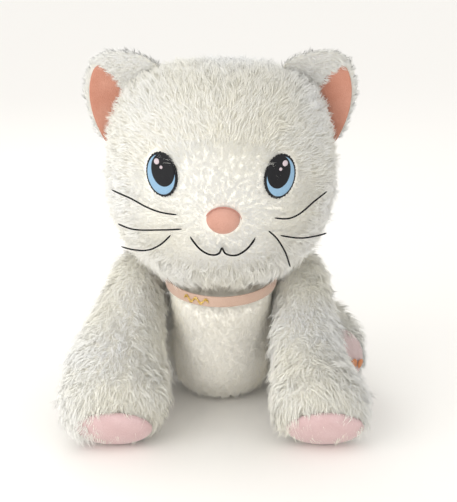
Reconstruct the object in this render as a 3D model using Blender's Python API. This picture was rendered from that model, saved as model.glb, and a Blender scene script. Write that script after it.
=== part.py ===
"""Seated long-pile plush cat, built in metres with +Z up and the face towards -Y.

Left and right are the cat's own: its left side is at +X.
Each skin is one closed wall that is as thick as its backing and its pile together,
open where it is sewn to its neighbour, with its stuffing as a separate core inside.
"""

import bpy
import bmesh
from math import asin, cos, degrees, pi, radians, sin, sqrt
from mathutils import Vector

# ---------------------------------------------------------------- clearances
GAP = 0.0005               # between a piece and what it lies on or in
CORE_GAP = 0.0028          # between a skin's wall and the stuffing inside it
SEAM_GAP = 0.0006          # between a limb's open end and the torso's side
FLOOR = 0.0                # the cat sits on this level
MIDDLE_BACK = 0.05286       # from the head's middle back to the middle of the whole cat

# ---------------------------------------------------------------- neck
NECK = Vector((0.0, 0.005, 0.175))       # the head turns and nods about this point
NECK_DOME = 0.050          # radius of the torso's top, round the neck point
SOCKET = 0.0625            # radius of the hollow under the head, round the neck point
NECK_PLUG = 0.019          # radius of the stuffing that passes through the neck
NECK_PLUG_TOP = 0.072      # its reach above the neck point
NECK_PLUG_FOOT = 0.030     # its reach below the neck point

# ---------------------------------------------------------------- head
HEAD = Vector((0.0, -0.010, 0.277))
HEAD_HALF_WIDTH = 0.119
HEAD_HALF_DEPTH = 0.106
HEAD_HALF_HEIGHT = 0.117
HEAD_WALL = 0.014
HEAD_SQUARE = 2.3          # 2 is an ellipse seen from the front, more is squarer
HEAD_LAST = 134.0          # degrees from the crown to the edge of the socket
CHIN_BACK = 0.015          # how far the lowest rings move back over the neck
SOCKET_EDGE = 9.0          # degrees above level, seen from the neck point
SOCKET_HOLE = 56.0         # degrees above level, edge of the neck hole
HEAD_COUNT = 28

# ---------------------------------------------------------------- face
EYE_X = 0.055
EYE_Z = 0.2965
EYE_HALF_WIDTH = 0.0148
EYE_HALF_HEIGHT = 0.0210
EYE_LEAN = 8.0             # degrees, tops outwards
IRIS_SHARE = 0.86          # iris size as a share of the outline's
PUPIL_HALF_WIDTH = 0.0096
PUPIL_HALF_HEIGHT = 0.0142
PUPIL_IN = 0.0012          # the pupil sits towards the nose and upwards
PUPIL_UP = 0.0022
SHINE_LARGE = 0.0050
SHINE_SMALL = 0.0027
THREAD_LAYER = 0.0009      # thickness of one layer of satin stitch

NOSE_Z = 0.2545
NOSE_HALF_WIDTH = 0.0165
NOSE_HALF_HEIGHT = 0.0125
NOSE_PAD = 0.0060
NOSE_THREAD = 0.0007
MOUTH_THREAD = 0.0011
WHISKER_THREAD = 0.0007

# ---------------------------------------------------------------- ears
EAR_WALL = 0.0110
EAR_LINING_WALL = 0.0030
EAR_CUP = 0.0120           # depth of the hollow in the front of an ear
EAR_LINING_SHARE = 0.74
EAR_BASE = Vector((0.0935, -0.012, 0.3570))
EAR_BASE_HALF = 0.037      # half the length of the sewn edge
EAR_TIP_REACH = 0.0595      # from the sewn edge to the far edge
EAR_TILT = 47.0            # degrees from upright, outwards

# ---------------------------------------------------------------- torso
TORSO_WALL = 0.010
TORSO_COUNT = 24
SEAT = Vector((0.0, 0.090, 0.0705))
SEAT_RADIUS = 0.078
SEAT_HALF_WIDTH = 0.069
CHEST_HALF_WIDTH = 0.0575
BELLY_WALL = 0.0045
BELLY_LIFT = 0.0014        # keeps the flat panel's facets off the round torso
BELLY_REACH = (2.4, 2.6, 2.9, 3.2, 3.2)      # half widths in torso facets, seat to neck
PELLET_SHARE = 0.36        # share of the torso's hollow filled by the pellet bag
SEAM_THREAD = 0.0010

# ---------------------------------------------------------------- limbs
LIMB_COUNT = 18
LIMB_WALL = 0.009
SHOULDER = Vector((0.0622, 0.030, 0.1420))
HIP = Vector((SEAT_HALF_WIDTH + SEAM_GAP + 0.0014, 0.109, 0.0545))
RIGHT_FOOT_TURN = 8.0      # degrees, the right hind foot is tucked further in
RIGHT_FOOT_BACK = 0.012    # and sits this much further back
SOLE_PAD = 0.0120           # how far a sole bulges past the leg's edge
FOOT_WAY = Vector((0.22, -0.97, -0.06)).normalized()     # the way a hind sole faces

# ---------------------------------------------------------------- collar
COLLAR = Vector((0.0, 0.003, 0.1600))
COLLAR_INNER = 0.0570
COLLAR_THICK = 0.0026
COLLAR_HEIGHT = 0.0120
COLLAR_TILT = 10.0         # degrees, lower at the front
COLLAR_OPEN = 4.0          # degrees, half of the gap at the back
COLLAR_COUNT = 40

# ---------------------------------------------------------------- tail
TAIL_ROOT = Vector((0.0, 0.1560, 0.036))
TAIL_RADIUS = 0.0225
TAIL_WALL = 0.008

WHITE_FUR = (0.86, 0.85, 0.81)
PINK_VELOUR = (0.86, 0.58, 0.52)
PALE_PINK = (0.86, 0.70, 0.69)
BLACK_THREAD = (0.02, 0.02, 0.022)
BLUE_THREAD = (0.28, 0.50, 0.78)
SHINE_THREAD = (0.92, 0.87, 0.88)
NOSE_PINK = (0.85, 0.56, 0.50)
NOSE_EDGE = (0.62, 0.33, 0.30)
FIBREFILL = (0.93, 0.93, 0.92)
PELLET_CLOTH = (0.80, 0.78, 0.72)
COLLAR_PINK = (0.82, 0.60, 0.52)
GOLD_FOIL = (0.78, 0.58, 0.18)
COPPER_FOIL = (0.72, 0.34, 0.16)


def clear_scene():
    for thing in list(bpy.data.objects):
        bpy.data.objects.remove(thing, do_unlink=True)


def material(name, colour, roughness=0.9):
    mat = bpy.data.materials.new(name)
    mat.use_nodes = True
    shader = mat.node_tree.nodes["Principled BSDF"]
    shader.inputs["Base Color"].default_value = (*colour, 1.0)
    shader.inputs["Roughness"].default_value = roughness
    mat.diffuse_color = (*colour, 1.0)
    return mat


def add_body(name, points, faces, colour, roughness=0.9, smooth=True):
    """Make one closed object from points and faces, with its own material."""
    mesh = bpy.data.meshes.new(name)
    mesh.from_pydata([(p.x, p.y - MIDDLE_BACK, p.z) for p in points], [], faces)
    shape = bmesh.new()
    shape.from_mesh(mesh)
    bmesh.ops.recalc_face_normals(shape, faces=shape.faces)
    for face in shape.faces:
        face.smooth = smooth
    shape.to_mesh(mesh)
    shape.free()
    thing = bpy.data.objects.new(name, mesh)
    thing.data.materials.append(material(name, colour, roughness))
    bpy.context.scene.collection.objects.link(thing)
    return thing


def faces_of(count, ring_total, start_pole, end_pole, looped):
    """Faces for a row of rings of equal count, numbered ring by ring."""
    faces = []
    steps = ring_total if looped else ring_total - 1
    for k in range(steps):
        a = k * count
        b = ((k + 1) % ring_total) * count
        for i in range(count):
            j = (i + 1) % count
            faces.append((a + i, a + j, b + j, b + i))
    first_pole = ring_total * count
    if start_pole:
        for i in range(count):
            faces.append((first_pole, (i + 1) % count, i))
        first_pole += 1
    if end_pole:
        last = (ring_total - 1) * count
        for i in range(count):
            faces.append((first_pole, last + i, last + (i + 1) % count))
    return faces


def body_from_rings(name, rings, colour, start_pole=None, end_pole=None, looped=False,
                    roughness=0.9, side=1.0):
    """Close a row of rings into one body; side -1 mirrors it to the cat's right."""
    points = [p for ring in rings for p in ring]
    if start_pole is not None:
        points.append(start_pole)
    if end_pole is not None:
        points.append(end_pole)
    points = [Vector((p.x * side, p.y, p.z)) for p in points]
    faces = faces_of(len(rings[0]), len(rings), start_pole is not None,
                     end_pole is not None, looped)
    return add_body(name, points, faces, colour, roughness)


def ring_in_plane(centre, tangent, first, radii, count):
    """A ring across tangent whose reach along the world axes is radii."""
    second = tangent.cross(first)
    ring = []
    for i in range(count):
        angle = 2.0 * pi * i / count
        way = first * cos(angle) + second * sin(angle)
        reach = sqrt(sum((way[k] / radii[k]) ** 2 for k in range(3)))
        ring.append(centre + way / reach)
    return ring


def rings_along(sections, count, inset, first, ways=None):
    """Rings across a path of (centre, radii) sections, each shrunk by inset."""
    rings = []
    last = len(sections) - 1
    for k, (centre, radii) in enumerate(sections):
        before = sections[max(k - 1, 0)][0]
        after = sections[min(k + 1, last)][0]
        tangent = (after - before).normalized()
        if ways is not None and ways[k] is not None:
            tangent = ways[k]
        first = (first - tangent * first.dot(tangent)).normalized()
        shrunk = [r - inset for r in radii]
        rings.append(ring_in_plane(centre, tangent, first, shrunk, count))
    return rings


def on_floor(rings, level):
    for ring in rings:
        for p in ring:
            p.z = max(p.z, level)
    return rings


def beside(rings, edge):
    """Hold a limb's rings out to one side, where it is sewn to the torso."""
    for ring in rings:
        for p in ring:
            p.x = max(p.x, edge)
    return rings


def smooth_step(t):
    t = min(max(t, 0.0), 1.0)
    return t * t * (3.0 - 2.0 * t)


# ---------------------------------------------------------------- head
def head_spread(up):
    """The head's reach at a height from -1, its bottom, to 1, its crown."""
    return (1.0 - abs(up) ** HEAD_SQUARE) ** (1.0 / HEAD_SQUARE)


def head_ring(polar, inset, count):
    """One ring of the head; polar is measured from the crown."""
    angle = radians(polar)
    drop = smooth_step((polar - 95.0) / 45.0)
    centre_y = HEAD.y + CHIN_BACK * drop
    level = HEAD.z + (HEAD_HALF_HEIGHT - inset) * cos(angle)
    spread = head_spread(cos(angle))
    ring = []
    for i in range(count):
        turn = 2.0 * pi * i / count
        x = (HEAD_HALF_WIDTH - inset) * spread * cos(turn)
        y = centre_y + (HEAD_HALF_DEPTH - inset) * spread * sin(turn)
        ring.append(Vector((x, y, level)))
    return ring


def ball_ring(radius, lift, count, flip=False):
    """A level ring on a ball round the neck point, lift degrees above its middle."""
    angle = radians(lift)
    ring = []
    for i in range(count):
        turn = 2.0 * pi * i / count
        reach = radius * cos(angle)
        ring.append(NECK + Vector((reach * cos(turn), reach * sin(turn), radius * sin(angle))))
    return ring


def face_y(x, z):
    """Where the front of the head is at this width and height."""
    up = min(max((z - HEAD.z) / HEAD_HALF_HEIGHT, -0.999), 0.999)
    spread = head_spread(up)
    drop = smooth_step((90.0 - degrees(asin(up)) - 95.0) / 45.0)
    across = min(abs(x) / (HEAD_HALF_WIDTH * spread), 0.999)
    return HEAD.y + CHIN_BACK * drop - HEAD_HALF_DEPTH * spread * sqrt(1.0 - across * across)


def make_head():
    outer_steps = (12, 25, 38, 51, 64, 77, 90, 102, 113, 124, HEAD_LAST)
    outer = [head_ring(s, 0.0, HEAD_COUNT) for s in outer_steps]
    socket = [ball_ring(SOCKET, s, HEAD_COUNT) for s in (SOCKET_EDGE, 24.0, 40.0, SOCKET_HOLE)]
    inner_ball = SOCKET + HEAD_WALL
    roof = [ball_ring(inner_ball, s, HEAD_COUNT) for s in (SOCKET_HOLE, 40.0, 25.0)]
    inner = [head_ring(s, HEAD_WALL, HEAD_COUNT) for s in (118, 104, 90, 72, 54, 36, 18)]
    crown = Vector((0.0, HEAD.y, HEAD.z + HEAD_HALF_HEIGHT))
    under_crown = crown - Vector((0.0, 0.0, HEAD_WALL))
    body_from_rings("head_skin", outer + socket + roof + inner, WHITE_FUR,
                    start_pole=crown, end_pole=under_crown)
    core = HEAD_WALL + CORE_GAP
    count = 20
    filling = [head_ring(s, core, count) for s in (20, 42, 64, 84, 102, 114)]
    cup = [ball_ring(inner_ball + 0.0035, s, count) for s in (32.0, 50.0, 70.0)]
    body_from_rings("head_stuffing", filling + cup, FIBREFILL,
                    start_pole=Vector((0.0, HEAD.y, HEAD.z + HEAD_HALF_HEIGHT - core)),
                    end_pole=NECK + Vector((0.0, 0.0, inner_ball + 0.0035)))
    plug = []
    count = 12
    for lift, share in ((-NECK_PLUG_FOOT + 0.006, 0.8), (-0.012, 1.0), (0.020, 1.0),
                        (NECK_PLUG_TOP - 0.012, 1.0), (NECK_PLUG_TOP - 0.004, 0.6)):
        plug.append([NECK + Vector((NECK_PLUG * share * cos(2.0 * pi * i / count),
                                    NECK_PLUG * share * sin(2.0 * pi * i / count), lift))
                     for i in range(count)])
    body_from_rings("neck_stuffing", plug, FIBREFILL,
                    start_pole=NECK - Vector((0.0, 0.0, NECK_PLUG_FOOT)),
                    end_pole=NECK + Vector((0.0, 0.0, NECK_PLUG_TOP)))


# ---------------------------------------------------------------- things on the face
def face_patch(name, centre, half_x, half_z, lean, back, front, colour, side,
               count=16, rings=2, bulge=0.0, roughness=0.6):
    """An oval plate lying on the face between two depths in front of it."""
    tilt = radians(lean)
    points = []

    def place(share, turn, depth):
        a = half_x * share * cos(turn)
        b = half_z * share * sin(turn)
        x = centre[0] + a * cos(tilt) + b * sin(tilt)
        z = centre[1] - a * sin(tilt) + b * cos(tilt)
        swell = bulge * (1.0 - share * share)
        points.append(Vector((x * side, face_y(x, z) - depth - swell, z)))

    for depth, puff in ((back, 0.0), (front, bulge)):
        saved = bulge
        bulge = puff
        for k in range(rings, 0, -1):
            for i in range(count):
                place(k / rings, 2.0 * pi * i / count, depth)
        place(0.0, 0.0, depth)
        bulge = saved
    half = rings * count + 1
    faces = []
    for base in (0, half):
        for k in range(rings - 1):
            for i in range(count):
                j = (i + 1) % count
                a = base + k * count
                faces.append((a + i, a + j, a + count + j, a + count + i))
        inner = base + (rings - 1) * count
        for i in range(count):
            faces.append((inner + i, inner + (i + 1) % count, base + half - 1))
    for i in range(count):
        j = (i + 1) % count
        faces.append((i, j, half + j, half + i))
    return add_body(name, points, faces, colour, roughness)


def thread(name, path, radius, colour, count=5, roughness=0.6):
    """A round stitched thread along a path of points."""
    sections = [(p, (radius, radius, radius)) for p in path]
    rings = rings_along(sections, count, 0.0, Vector((0.0, 0.1, 1.0)))
    return body_from_rings(name, rings, colour, start_pole=path[0], end_pole=path[-1],
                           roughness=roughness)


def on_face(x, z, lift):
    """A point lifted off the face along the face's own outward direction."""
    step = 0.002
    slope_x = (face_y(x + step, z) - face_y(x - step, z)) / (2.0 * step)
    slope_z = (face_y(x, z + step) - face_y(x, z - step)) / (2.0 * step)
    out = Vector((slope_x, -1.0, slope_z)).normalized()
    return Vector((x, face_y(x, z), z)) + out * lift


def curve_through(knots, steps):
    """Points along a smooth line through knots of (x, z)."""
    line = []
    last = len(knots) - 1
    for k in range(last):
        p0 = knots[max(k - 1, 0)]
        p1 = knots[k]
        p2 = knots[k + 1]
        p3 = knots[min(k + 2, last)]
        for i in range(steps):
            t = i / steps
            point = []
            for a, b, c, d in zip(p0, p1, p2, p3):
                point.append(0.5 * (2 * b + (c - a) * t + (2 * a - 5 * b + 4 * c - d) * t * t
                                    + (3 * b - a - 3 * c + d) * t * t * t))
            line.append(tuple(point))
    line.append(tuple(knots[-1]))
    return line


def make_face():
    for side, word in ((1.0, "left"), (-1.0, "right")):
        eye = (EYE_X, EYE_Z)
        layer = GAP + THREAD_LAYER
        start = 0.0008
        face_patch(f"eye_{word}_outline", eye, EYE_HALF_WIDTH, EYE_HALF_HEIGHT, EYE_LEAN,
                   start, start + THREAD_LAYER, BLACK_THREAD, side, count=18)
        face_patch(f"eye_{word}_iris", eye, EYE_HALF_WIDTH * IRIS_SHARE,
                   EYE_HALF_HEIGHT * IRIS_SHARE, EYE_LEAN, start + layer,
                   start + layer + THREAD_LAYER, BLUE_THREAD, side, count=18)
        pupil = (EYE_X - PUPIL_IN, EYE_Z + PUPIL_UP)
        face_patch(f"eye_{word}_pupil", pupil, PUPIL_HALF_WIDTH, PUPIL_HALF_HEIGHT, EYE_LEAN,
                   start + 2 * layer, start + 2 * layer + THREAD_LAYER, BLACK_THREAD, side)
        for spot, radius, off in (("large", SHINE_LARGE, (0.0025, 0.0085)),
                                  ("small", SHINE_SMALL, (-0.0052, -0.0062))):
            face_patch(f"eye_{word}_shine_{spot}", (pupil[0] + off[0], pupil[1] + off[1]),
                       radius, radius, 0.0, start + 3 * layer,
                       start + 3 * layer + THREAD_LAYER, SHINE_THREAD, side, count=12, rings=1)
    face_patch("nose", (0.0, NOSE_Z), NOSE_HALF_WIDTH, NOSE_HALF_HEIGHT, 0.0, 0.0008, 0.0016,
               NOSE_PINK, 1.0, count=20, rings=4, bulge=NOSE_PAD)
    rim = []
    for i in range(13):
        turn = radians(20.0 + 140.0 * i / 12)
        rim.append(on_face((NOSE_HALF_WIDTH + 0.0018) * cos(turn),
                           NOSE_Z + (NOSE_HALF_HEIGHT + 0.0018) * sin(turn),
                           GAP + NOSE_THREAD))
    thread("nose_stitch", rim, NOSE_THREAD, NOSE_EDGE)
    half = [(0.0310, 0.2370), (0.0240, 0.2285), (0.0125, 0.2240), (0.0045, 0.2275),
            (0.0, 0.2335)]
    knots = half + [(-x, z) for x, z in reversed(half[:-1])]
    line = curve_through(knots, 3)
    thread("mouth_stitch", [on_face(x, z, GAP + MOUTH_THREAD) for x, z in line],
           MOUTH_THREAD, BLACK_THREAD)
    rows = (("upper", (0.0430, 0.2590), (0.0720, 0.2720), (0.0935, 0.2840)),
            ("middle", (0.0420, 0.2470), (0.0680, 0.2490), (0.0930, 0.2500)),
            ("lower", (0.0380, 0.2390), (0.0580, 0.2330), (0.0790, 0.2240)))
    for side, word in ((1.0, "left"), (-1.0, "right")):
        for row, *knots in rows:
            line = curve_through(knots, 4)
            path = [on_face(x, z, GAP + WHISKER_THREAD) for x, z in line]
            path = [Vector((p.x * side, p.y, p.z)) for p in path]
            thread(f"whisker_{word}_{row}", path, WHISKER_THREAD, BLACK_THREAD)


# ---------------------------------------------------------------- ears
def ear_grid(share, columns, rows, depth, lift):
    """Points of a cupped rounded triangle in the ear's own frame."""
    points = []
    for k in range(rows + 1):
        up = k / rows
        half = EAR_BASE_HALF * share * sqrt(max(1.0 - up ** 3.2, 0.0)) * (1.0 - 0.14 * up)
        half = max(half, EAR_BASE_HALF * share * 0.16)
        for i in range(columns + 1):
            across = 2.0 * i / columns - 1.0
            x = half * across
            z = lift + EAR_TIP_REACH * share * up
            bowl = EAR_CUP * (1.0 - across * across) * (1.0 - 0.45 * up) * (1.0 - 0.25 * (1.0 - up))
            points.append(Vector((x, bowl + depth, z)))
    return points


def ear_body(name, share, back, front, lift, colour, side):
    columns = 8
    rows = 7
    tilt = radians(EAR_TILT)
    points = []
    for depth in (front, back):
        for p in ear_grid(share, columns, rows, depth, lift):
            x = EAR_BASE.x + p.z * sin(tilt) - p.x * cos(tilt)
            z = EAR_BASE.z + p.z * cos(tilt) + p.x * sin(tilt)
            points.append(Vector((x * side, EAR_BASE.y + p.y, z)))
    wide = columns + 1
    half = wide * (rows + 1)
    faces = []
    for base in (0, half):
        for k in range(rows):
            for i in range(columns):
                a = base + k * wide + i
                faces.append((a, a + 1, a + wide + 1, a + wide))
    edge = [i for i in range(wide)]
    edge += [k * wide + columns for k in range(1, rows + 1)]
    edge += [rows * wide + i for i in range(columns - 1, -1, -1)]
    edge += [k * wide for k in range(rows - 1, 0, -1)]
    for a, b in zip(edge, edge[1:] + edge[:1]):
        faces.append((a, b, half + b, half + a))
    return add_body(name, points, faces, colour)


def make_ears():
    for side, word in ((1.0, "left"), (-1.0, "right")):
        ear_body(f"ear_{word}_skin", 1.0, EAR_WALL, 0.0, 0.0, WHITE_FUR, side)
        ear_body(f"ear_{word}_lining", EAR_LINING_SHARE, -GAP, -GAP - EAR_LINING_WALL,
                 0.0035, PINK_VELOUR, side)


# ---------------------------------------------------------------- torso
def torso_sections():
    """Centre, reach and backward lean of each ring, from the seat to the neck."""
    return [
        (Vector((0.0, 0.134, 0.027)), (0.036, 0.036, 0.036), 52.0),
        (Vector((0.0, 0.120, 0.039)), (0.057, 0.058, 0.058), 50.0),
        (Vector((0.0, 0.101, 0.0555)), (0.0670, 0.074, 0.074), 46.0),
        (SEAT + Vector((0.0, -0.012, 0.006)), (SEAT_HALF_WIDTH, 0.077, 0.077), 41.0),
        (Vector((0.0, 0.056, 0.101)), (0.0600, 0.071, 0.071), 34.0),
        (Vector((0.0, 0.037, 0.121)), (CHEST_HALF_WIDTH, 0.061, 0.061), 25.0),
        (Vector((0.0, 0.017, 0.141)), (0.0525, 0.0500, 0.0500), 11.0),
        (Vector((0.0, 0.007, 0.159)), (0.0505, 0.0475, 0.0475), 3.0),
    ]


def torso_rings(inset, first_ring=0, last_ring=7, least=0.0):
    picked = torso_sections()[first_ring:last_ring + 1]
    ways = [Vector((0.0, -sin(radians(lean)), cos(radians(lean)))) for _, _, lean in picked]
    path = [(centre, radii) for centre, radii, _ in picked]
    rings = rings_along(path, TORSO_COUNT, inset, Vector((1.0, 0.0, 0.0)), ways)
    return on_floor(rings, least)


def make_torso():
    outer = torso_rings(0.0)
    dome = [ball_ring(NECK_DOME, s, TORSO_COUNT) for s in (0.0, 20.0, 38.0, 52.0)]
    hole = NECK_DOME - TORSO_WALL
    roof = [ball_ring(hole, s, TORSO_COUNT) for s in (52.0, 30.0, 8.0)]
    inner = torso_rings(TORSO_WALL, least=TORSO_WALL)
    inner.reverse()
    seat_pole = Vector((0.0, 0.1385, 0.0230))
    inner_pole = Vector((0.0, 0.1355, 0.0255))
    body_from_rings("torso_skin", outer + dome + roof + inner, WHITE_FUR,
                    start_pole=seat_pole, end_pole=inner_pole)

    core = TORSO_WALL + CORE_GAP
    count = TORSO_COUNT
    bag = torso_rings(core, 0, 2, core)
    body_from_rings("pellet_bag", bag, PELLET_CLOTH,
                    start_pole=inner_pole + Vector((0.0, -0.003, 0.003)),
                    end_pole=Vector((0.0, 0.100, 0.060)))
    filling = torso_rings(core, 3, 6, core)
    low = Vector((0.0, 0.080, 0.078))
    high = NECK - Vector((0.0, 0.0, NECK_PLUG_FOOT + 0.0020))
    body_from_rings("torso_stuffing", filling, FIBREFILL, start_pole=low, end_pole=high)

    # The belly panel lies on the front of the torso between its side seams.
    under = GAP + BELLY_LIFT
    rings = torso_rings(-under, 2, 6)
    thick = torso_rings(-under - BELLY_WALL, 2, 6)
    front_index = count * 3 // 4
    reach = BELLY_REACH
    columns = 8
    points = []
    for layer in (rings, thick):
        for ring, span in zip(layer, reach):
            for i in range(columns + 1):
                spot = (i / columns * 2.0 - 1.0) * span
                low_index = int(spot // 1)
                part = spot - low_index
                a = ring[(front_index + low_index) % count]
                b = ring[(front_index + low_index + 1) % count]
                p = a.lerp(b, part)
                p.z = max(p.z, FLOOR)
                points.append(p)
    wide = columns + 1
    rows = len(reach)
    half = wide * rows
    faces = []
    for base in (0, half):
        for k in range(rows - 1):
            for i in range(columns):
                a = base + k * wide + i
                faces.append((a, a + 1, a + wide + 1, a + wide))
    edge = [i for i in range(wide)]
    edge += [k * wide + columns for k in range(1, rows)]
    edge += [(rows - 1) * wide + i for i in range(columns - 1, -1, -1)]
    edge += [k * wide for k in range(rows - 2, 0, -1)]
    for a, b in zip(edge, edge[1:] + edge[:1]):
        faces.append((a, b, half + b, half + a))
    add_body("belly_panel", points, faces, WHITE_FUR)

    # The hand-sewn closing seam runs up the middle of the back.
    back_index = count // 4
    lifted = torso_rings(-GAP - SEAM_THREAD - BELLY_LIFT, 2, 6)
    thread("closing_seam", [ring[back_index] for ring in lifted], SEAM_THREAD, FIBREFILL)


# ---------------------------------------------------------------- limbs
def foreleg_sections():
    """The path starts at the top of the shoulder and ends at the sole."""
    root = SHOULDER
    return [
        (root + Vector((0.024, 0.020, 0.020)), (0.020, 0.022, 0.022)),
        (root + Vector((0.026, 0.011, 0.011)), (0.031, 0.036, 0.036)),
        (root + Vector((0.030, -0.008, -0.010)), (0.036, 0.041, 0.041)),
        (root + Vector((0.037, -0.033, -0.038)), (0.040, 0.042, 0.042)),
        (root + Vector((0.044, -0.059, -0.066)), (0.046, 0.045, 0.045)),
        (root + Vector((0.048, -0.083, -0.091)), (0.053, 0.047, 0.047)),
        (root + Vector((0.050, -0.100, -0.106)), (0.051, 0.043, 0.043)),
        (root + Vector((0.050, -0.110, -0.113)), (0.046, 0.037, 0.037)),
    ]


def hindleg_sections():
    """The path starts at the back of the haunch and ends at the sole."""
    root = HIP
    return [
        (root + Vector((0.012, 0.036, 0.000)), (0.024, 0.026, 0.026)),
        (root + Vector((0.015, 0.025, 0.000)), (0.038, 0.040, 0.040)),
        (root + Vector((0.023, 0.005, -0.001)), (0.047, 0.048, 0.050)),
        (root + Vector((0.035, -0.019, -0.003)), (0.049, 0.049, 0.052)),
        (root + Vector((0.045, -0.041, -0.006)), (0.048, 0.047, 0.050)),
        (root + Vector((0.052, -0.054, -0.006)), (0.043, 0.042, 0.046)),
        (root + Vector((0.055, -0.062, -0.006)), (0.037, 0.036, 0.040)),
    ]


def turned(points, centre, degrees):
    """Turn points about a standing line through centre."""
    angle = radians(degrees)
    moved = []
    for p in points:
        x = p.x - centre.x
        y = p.y - centre.y
        moved.append(Vector((centre.x + x * cos(angle) - y * sin(angle),
                             centre.y + x * sin(angle) + y * cos(angle), p.z)))
    return moved


def tucked(sections, degrees):
    """Swing a limb's path inwards about its root, more and more along it."""
    centre = sections[0][0]
    last = len(sections) - 1
    moved = []
    for k, (point, radii) in enumerate(sections):
        share = smooth_step(k / last * 1.4)
        moved.append((turned([point], centre, -degrees * share)[0], radii))
    return moved


def make_limb(word, kind, sections, side, end_way, edge):
    """A leg open only at its sole: skin, stuffing and sole."""
    first = Vector((0.0, 0.3, 1.0))
    ways = [None] * (len(sections) - 1) + [end_way]
    start = (sections[1][0] - sections[0][0]).normalized()

    def shrunk(inset):
        rings = rings_along(sections, LIMB_COUNT, inset, first, ways)
        return beside(on_floor(rings, FLOOR + inset), edge + inset)

    outer = shrunk(0.0)
    inner = shrunk(LIMB_WALL)
    inner.reverse()
    top = sections[0][0] - start * 0.004
    under_top = sections[0][0] - start * 0.001 + Vector((LIMB_WALL * 0.3, 0.0, 0.0))
    body_from_rings(f"{kind}_{word}_skin", outer + inner, WHITE_FUR, start_pole=top,
                    end_pole=under_top, side=side)

    core = LIMB_WALL + CORE_GAP
    filling = shrunk(core)[1:-1]
    near = sections[1][0] - start * 0.004 + Vector((0.003, 0.0, 0.0))
    far = sections[-1][0] - end_way * 0.009
    body_from_rings(f"{kind}_{word}_stuffing", filling, FIBREFILL, start_pole=near,
                    end_pole=far, side=side)

    # The sole closes the open end of the leg.
    centre, radii = sections[-1]
    side_way = Vector((1.0, 0.0, 0.0))
    side_way = (side_way - end_way * side_way.dot(end_way)).normalized()
    shape = []
    for bulge, share in ((0.0, 0.98), (0.30, 0.95), (0.66, 0.78), (0.90, 0.46)):
        push = SEAM_GAP + SOLE_PAD * bulge
        reach = [r * share for r in radii]
        shape.append(ring_in_plane(centre + end_way * push, end_way, side_way, reach, LIMB_COUNT))
    on_floor(shape, FLOOR)
    body_from_rings(f"{kind}_{word}_sole", shape, PALE_PINK,
                    start_pole=centre + end_way * SEAM_GAP,
                    end_pole=centre + end_way * (SEAM_GAP + SOLE_PAD), side=side)


def make_limbs():
    fore_way = Vector((0.0, -0.77, -0.64)).normalized()
    for side, word in ((1.0, "left"), (-1.0, "right")):
        make_limb(word, "foreleg", foreleg_sections(), side, fore_way, SHOULDER.x)
        sections = hindleg_sections()
        way = FOOT_WAY
        if word == "right":
            sections = tucked(sections, RIGHT_FOOT_TURN)
            back = Vector((0.0, RIGHT_FOOT_BACK, 0.0))
            sections = [(centre + back, radii) for centre, radii in sections]
            way = turned([way], Vector((0.0, 0.0, 0.0)), -RIGHT_FOOT_TURN)[0]
        make_limb(word, "hindleg", sections, side, way, HIP.x)

    # A small embroidered flower on the left hind sole: two petals side by side.
    centre, radii = hindleg_sections()[-1]
    way = FOOT_WAY
    across = Vector((way.y, -way.x, 0.0)).normalized() * -1.0
    over = way.cross(across).normalized()
    if over.z < 0.0:
        over = -over
    for word, off_x, off_z in (("petal_inner", -0.0055, -0.010), ("petal_outer", 0.0055, -0.013)):
        push = SEAM_GAP + SOLE_PAD + 0.0004
        middle = centre + way * push + across * off_x + over * off_z
        rings = [ring_in_plane(middle + way * d, way, across, (0.0042, 0.0042, 0.0042), 10)
                 for d in (0.0, 0.0012)]
        body_from_rings(f"hindleg_left_{word}", rings, COPPER_FOIL, start_pole=middle,
                        end_pole=middle + way * 0.0012, roughness=0.4)


# ---------------------------------------------------------------- tail
def make_tail():
    root = TAIL_ROOT
    reach = TAIL_RADIUS
    sections = [
        (root + Vector((0.000, 0.004, 0.000)), (0.0175, 0.0175, 0.0175)),
        (root + Vector((0.002, 0.014, -0.003)), (0.0215, 0.0215, 0.0215)),
        (root + Vector((0.012, 0.032, -0.007)), (reach, reach, reach)),
        (root + Vector((0.034, 0.046, -0.010)), (reach + 0.001, reach + 0.001, reach + 0.001)),
        (root + Vector((0.062, 0.048, -0.010)), (reach + 0.002, reach + 0.002, reach + 0.002)),
        (root + Vector((0.086, 0.040, -0.010)), (reach, reach, reach)),
        (root + Vector((0.101, 0.031, -0.010)), (0.0150, 0.0150, 0.0150)),
    ]
    first = Vector((1.0, 0.0, 0.0))
    ways = [Vector((0.0, 1.0, 0.0))] + [None] * 6
    count = 14
    outer = on_floor(rings_along(sections, count, 0.0, first, ways), FLOOR)
    inner = on_floor(rings_along(sections, count, TAIL_WALL, first, ways), TAIL_WALL)
    inner = inner[:-1]
    inner.reverse()
    tip = sections[-1][0] + (sections[-1][0] - sections[-2][0]).normalized() * 0.007
    inner_tip = sections[-1][0] - (sections[-1][0] - sections[-2][0]).normalized() * 0.003
    # The wall is closed at the tip, so its rings run tip, outside, root, inside, tip.
    outer.reverse()
    inner.reverse()
    body_from_rings("tail_skin", outer + inner, WHITE_FUR, start_pole=tip, end_pole=inner_tip)
    core = TAIL_WALL + CORE_GAP
    filling = on_floor(rings_along(sections, count, core, first, ways), core)
    filling = filling[1:-1]
    body_from_rings("tail_stuffing", filling, FIBREFILL,
                    start_pole=sections[1][0] - Vector((0.0, 0.004, 0.0)),
                    end_pole=sections[-2][0] + (sections[-1][0] - sections[-2][0]) * 0.35)


# ---------------------------------------------------------------- collar
def collar_point(degrees, radius, height):
    """A point on the collar; 0 degrees is the front, towards the cat's left."""
    turn = radians(degrees)
    tilt = radians(COLLAR_TILT)
    x = radius * sin(turn)
    y = -radius * cos(turn)
    return COLLAR + Vector((x, y * cos(tilt) - height * sin(tilt),
                            y * sin(tilt) + height * cos(tilt)))


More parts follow.
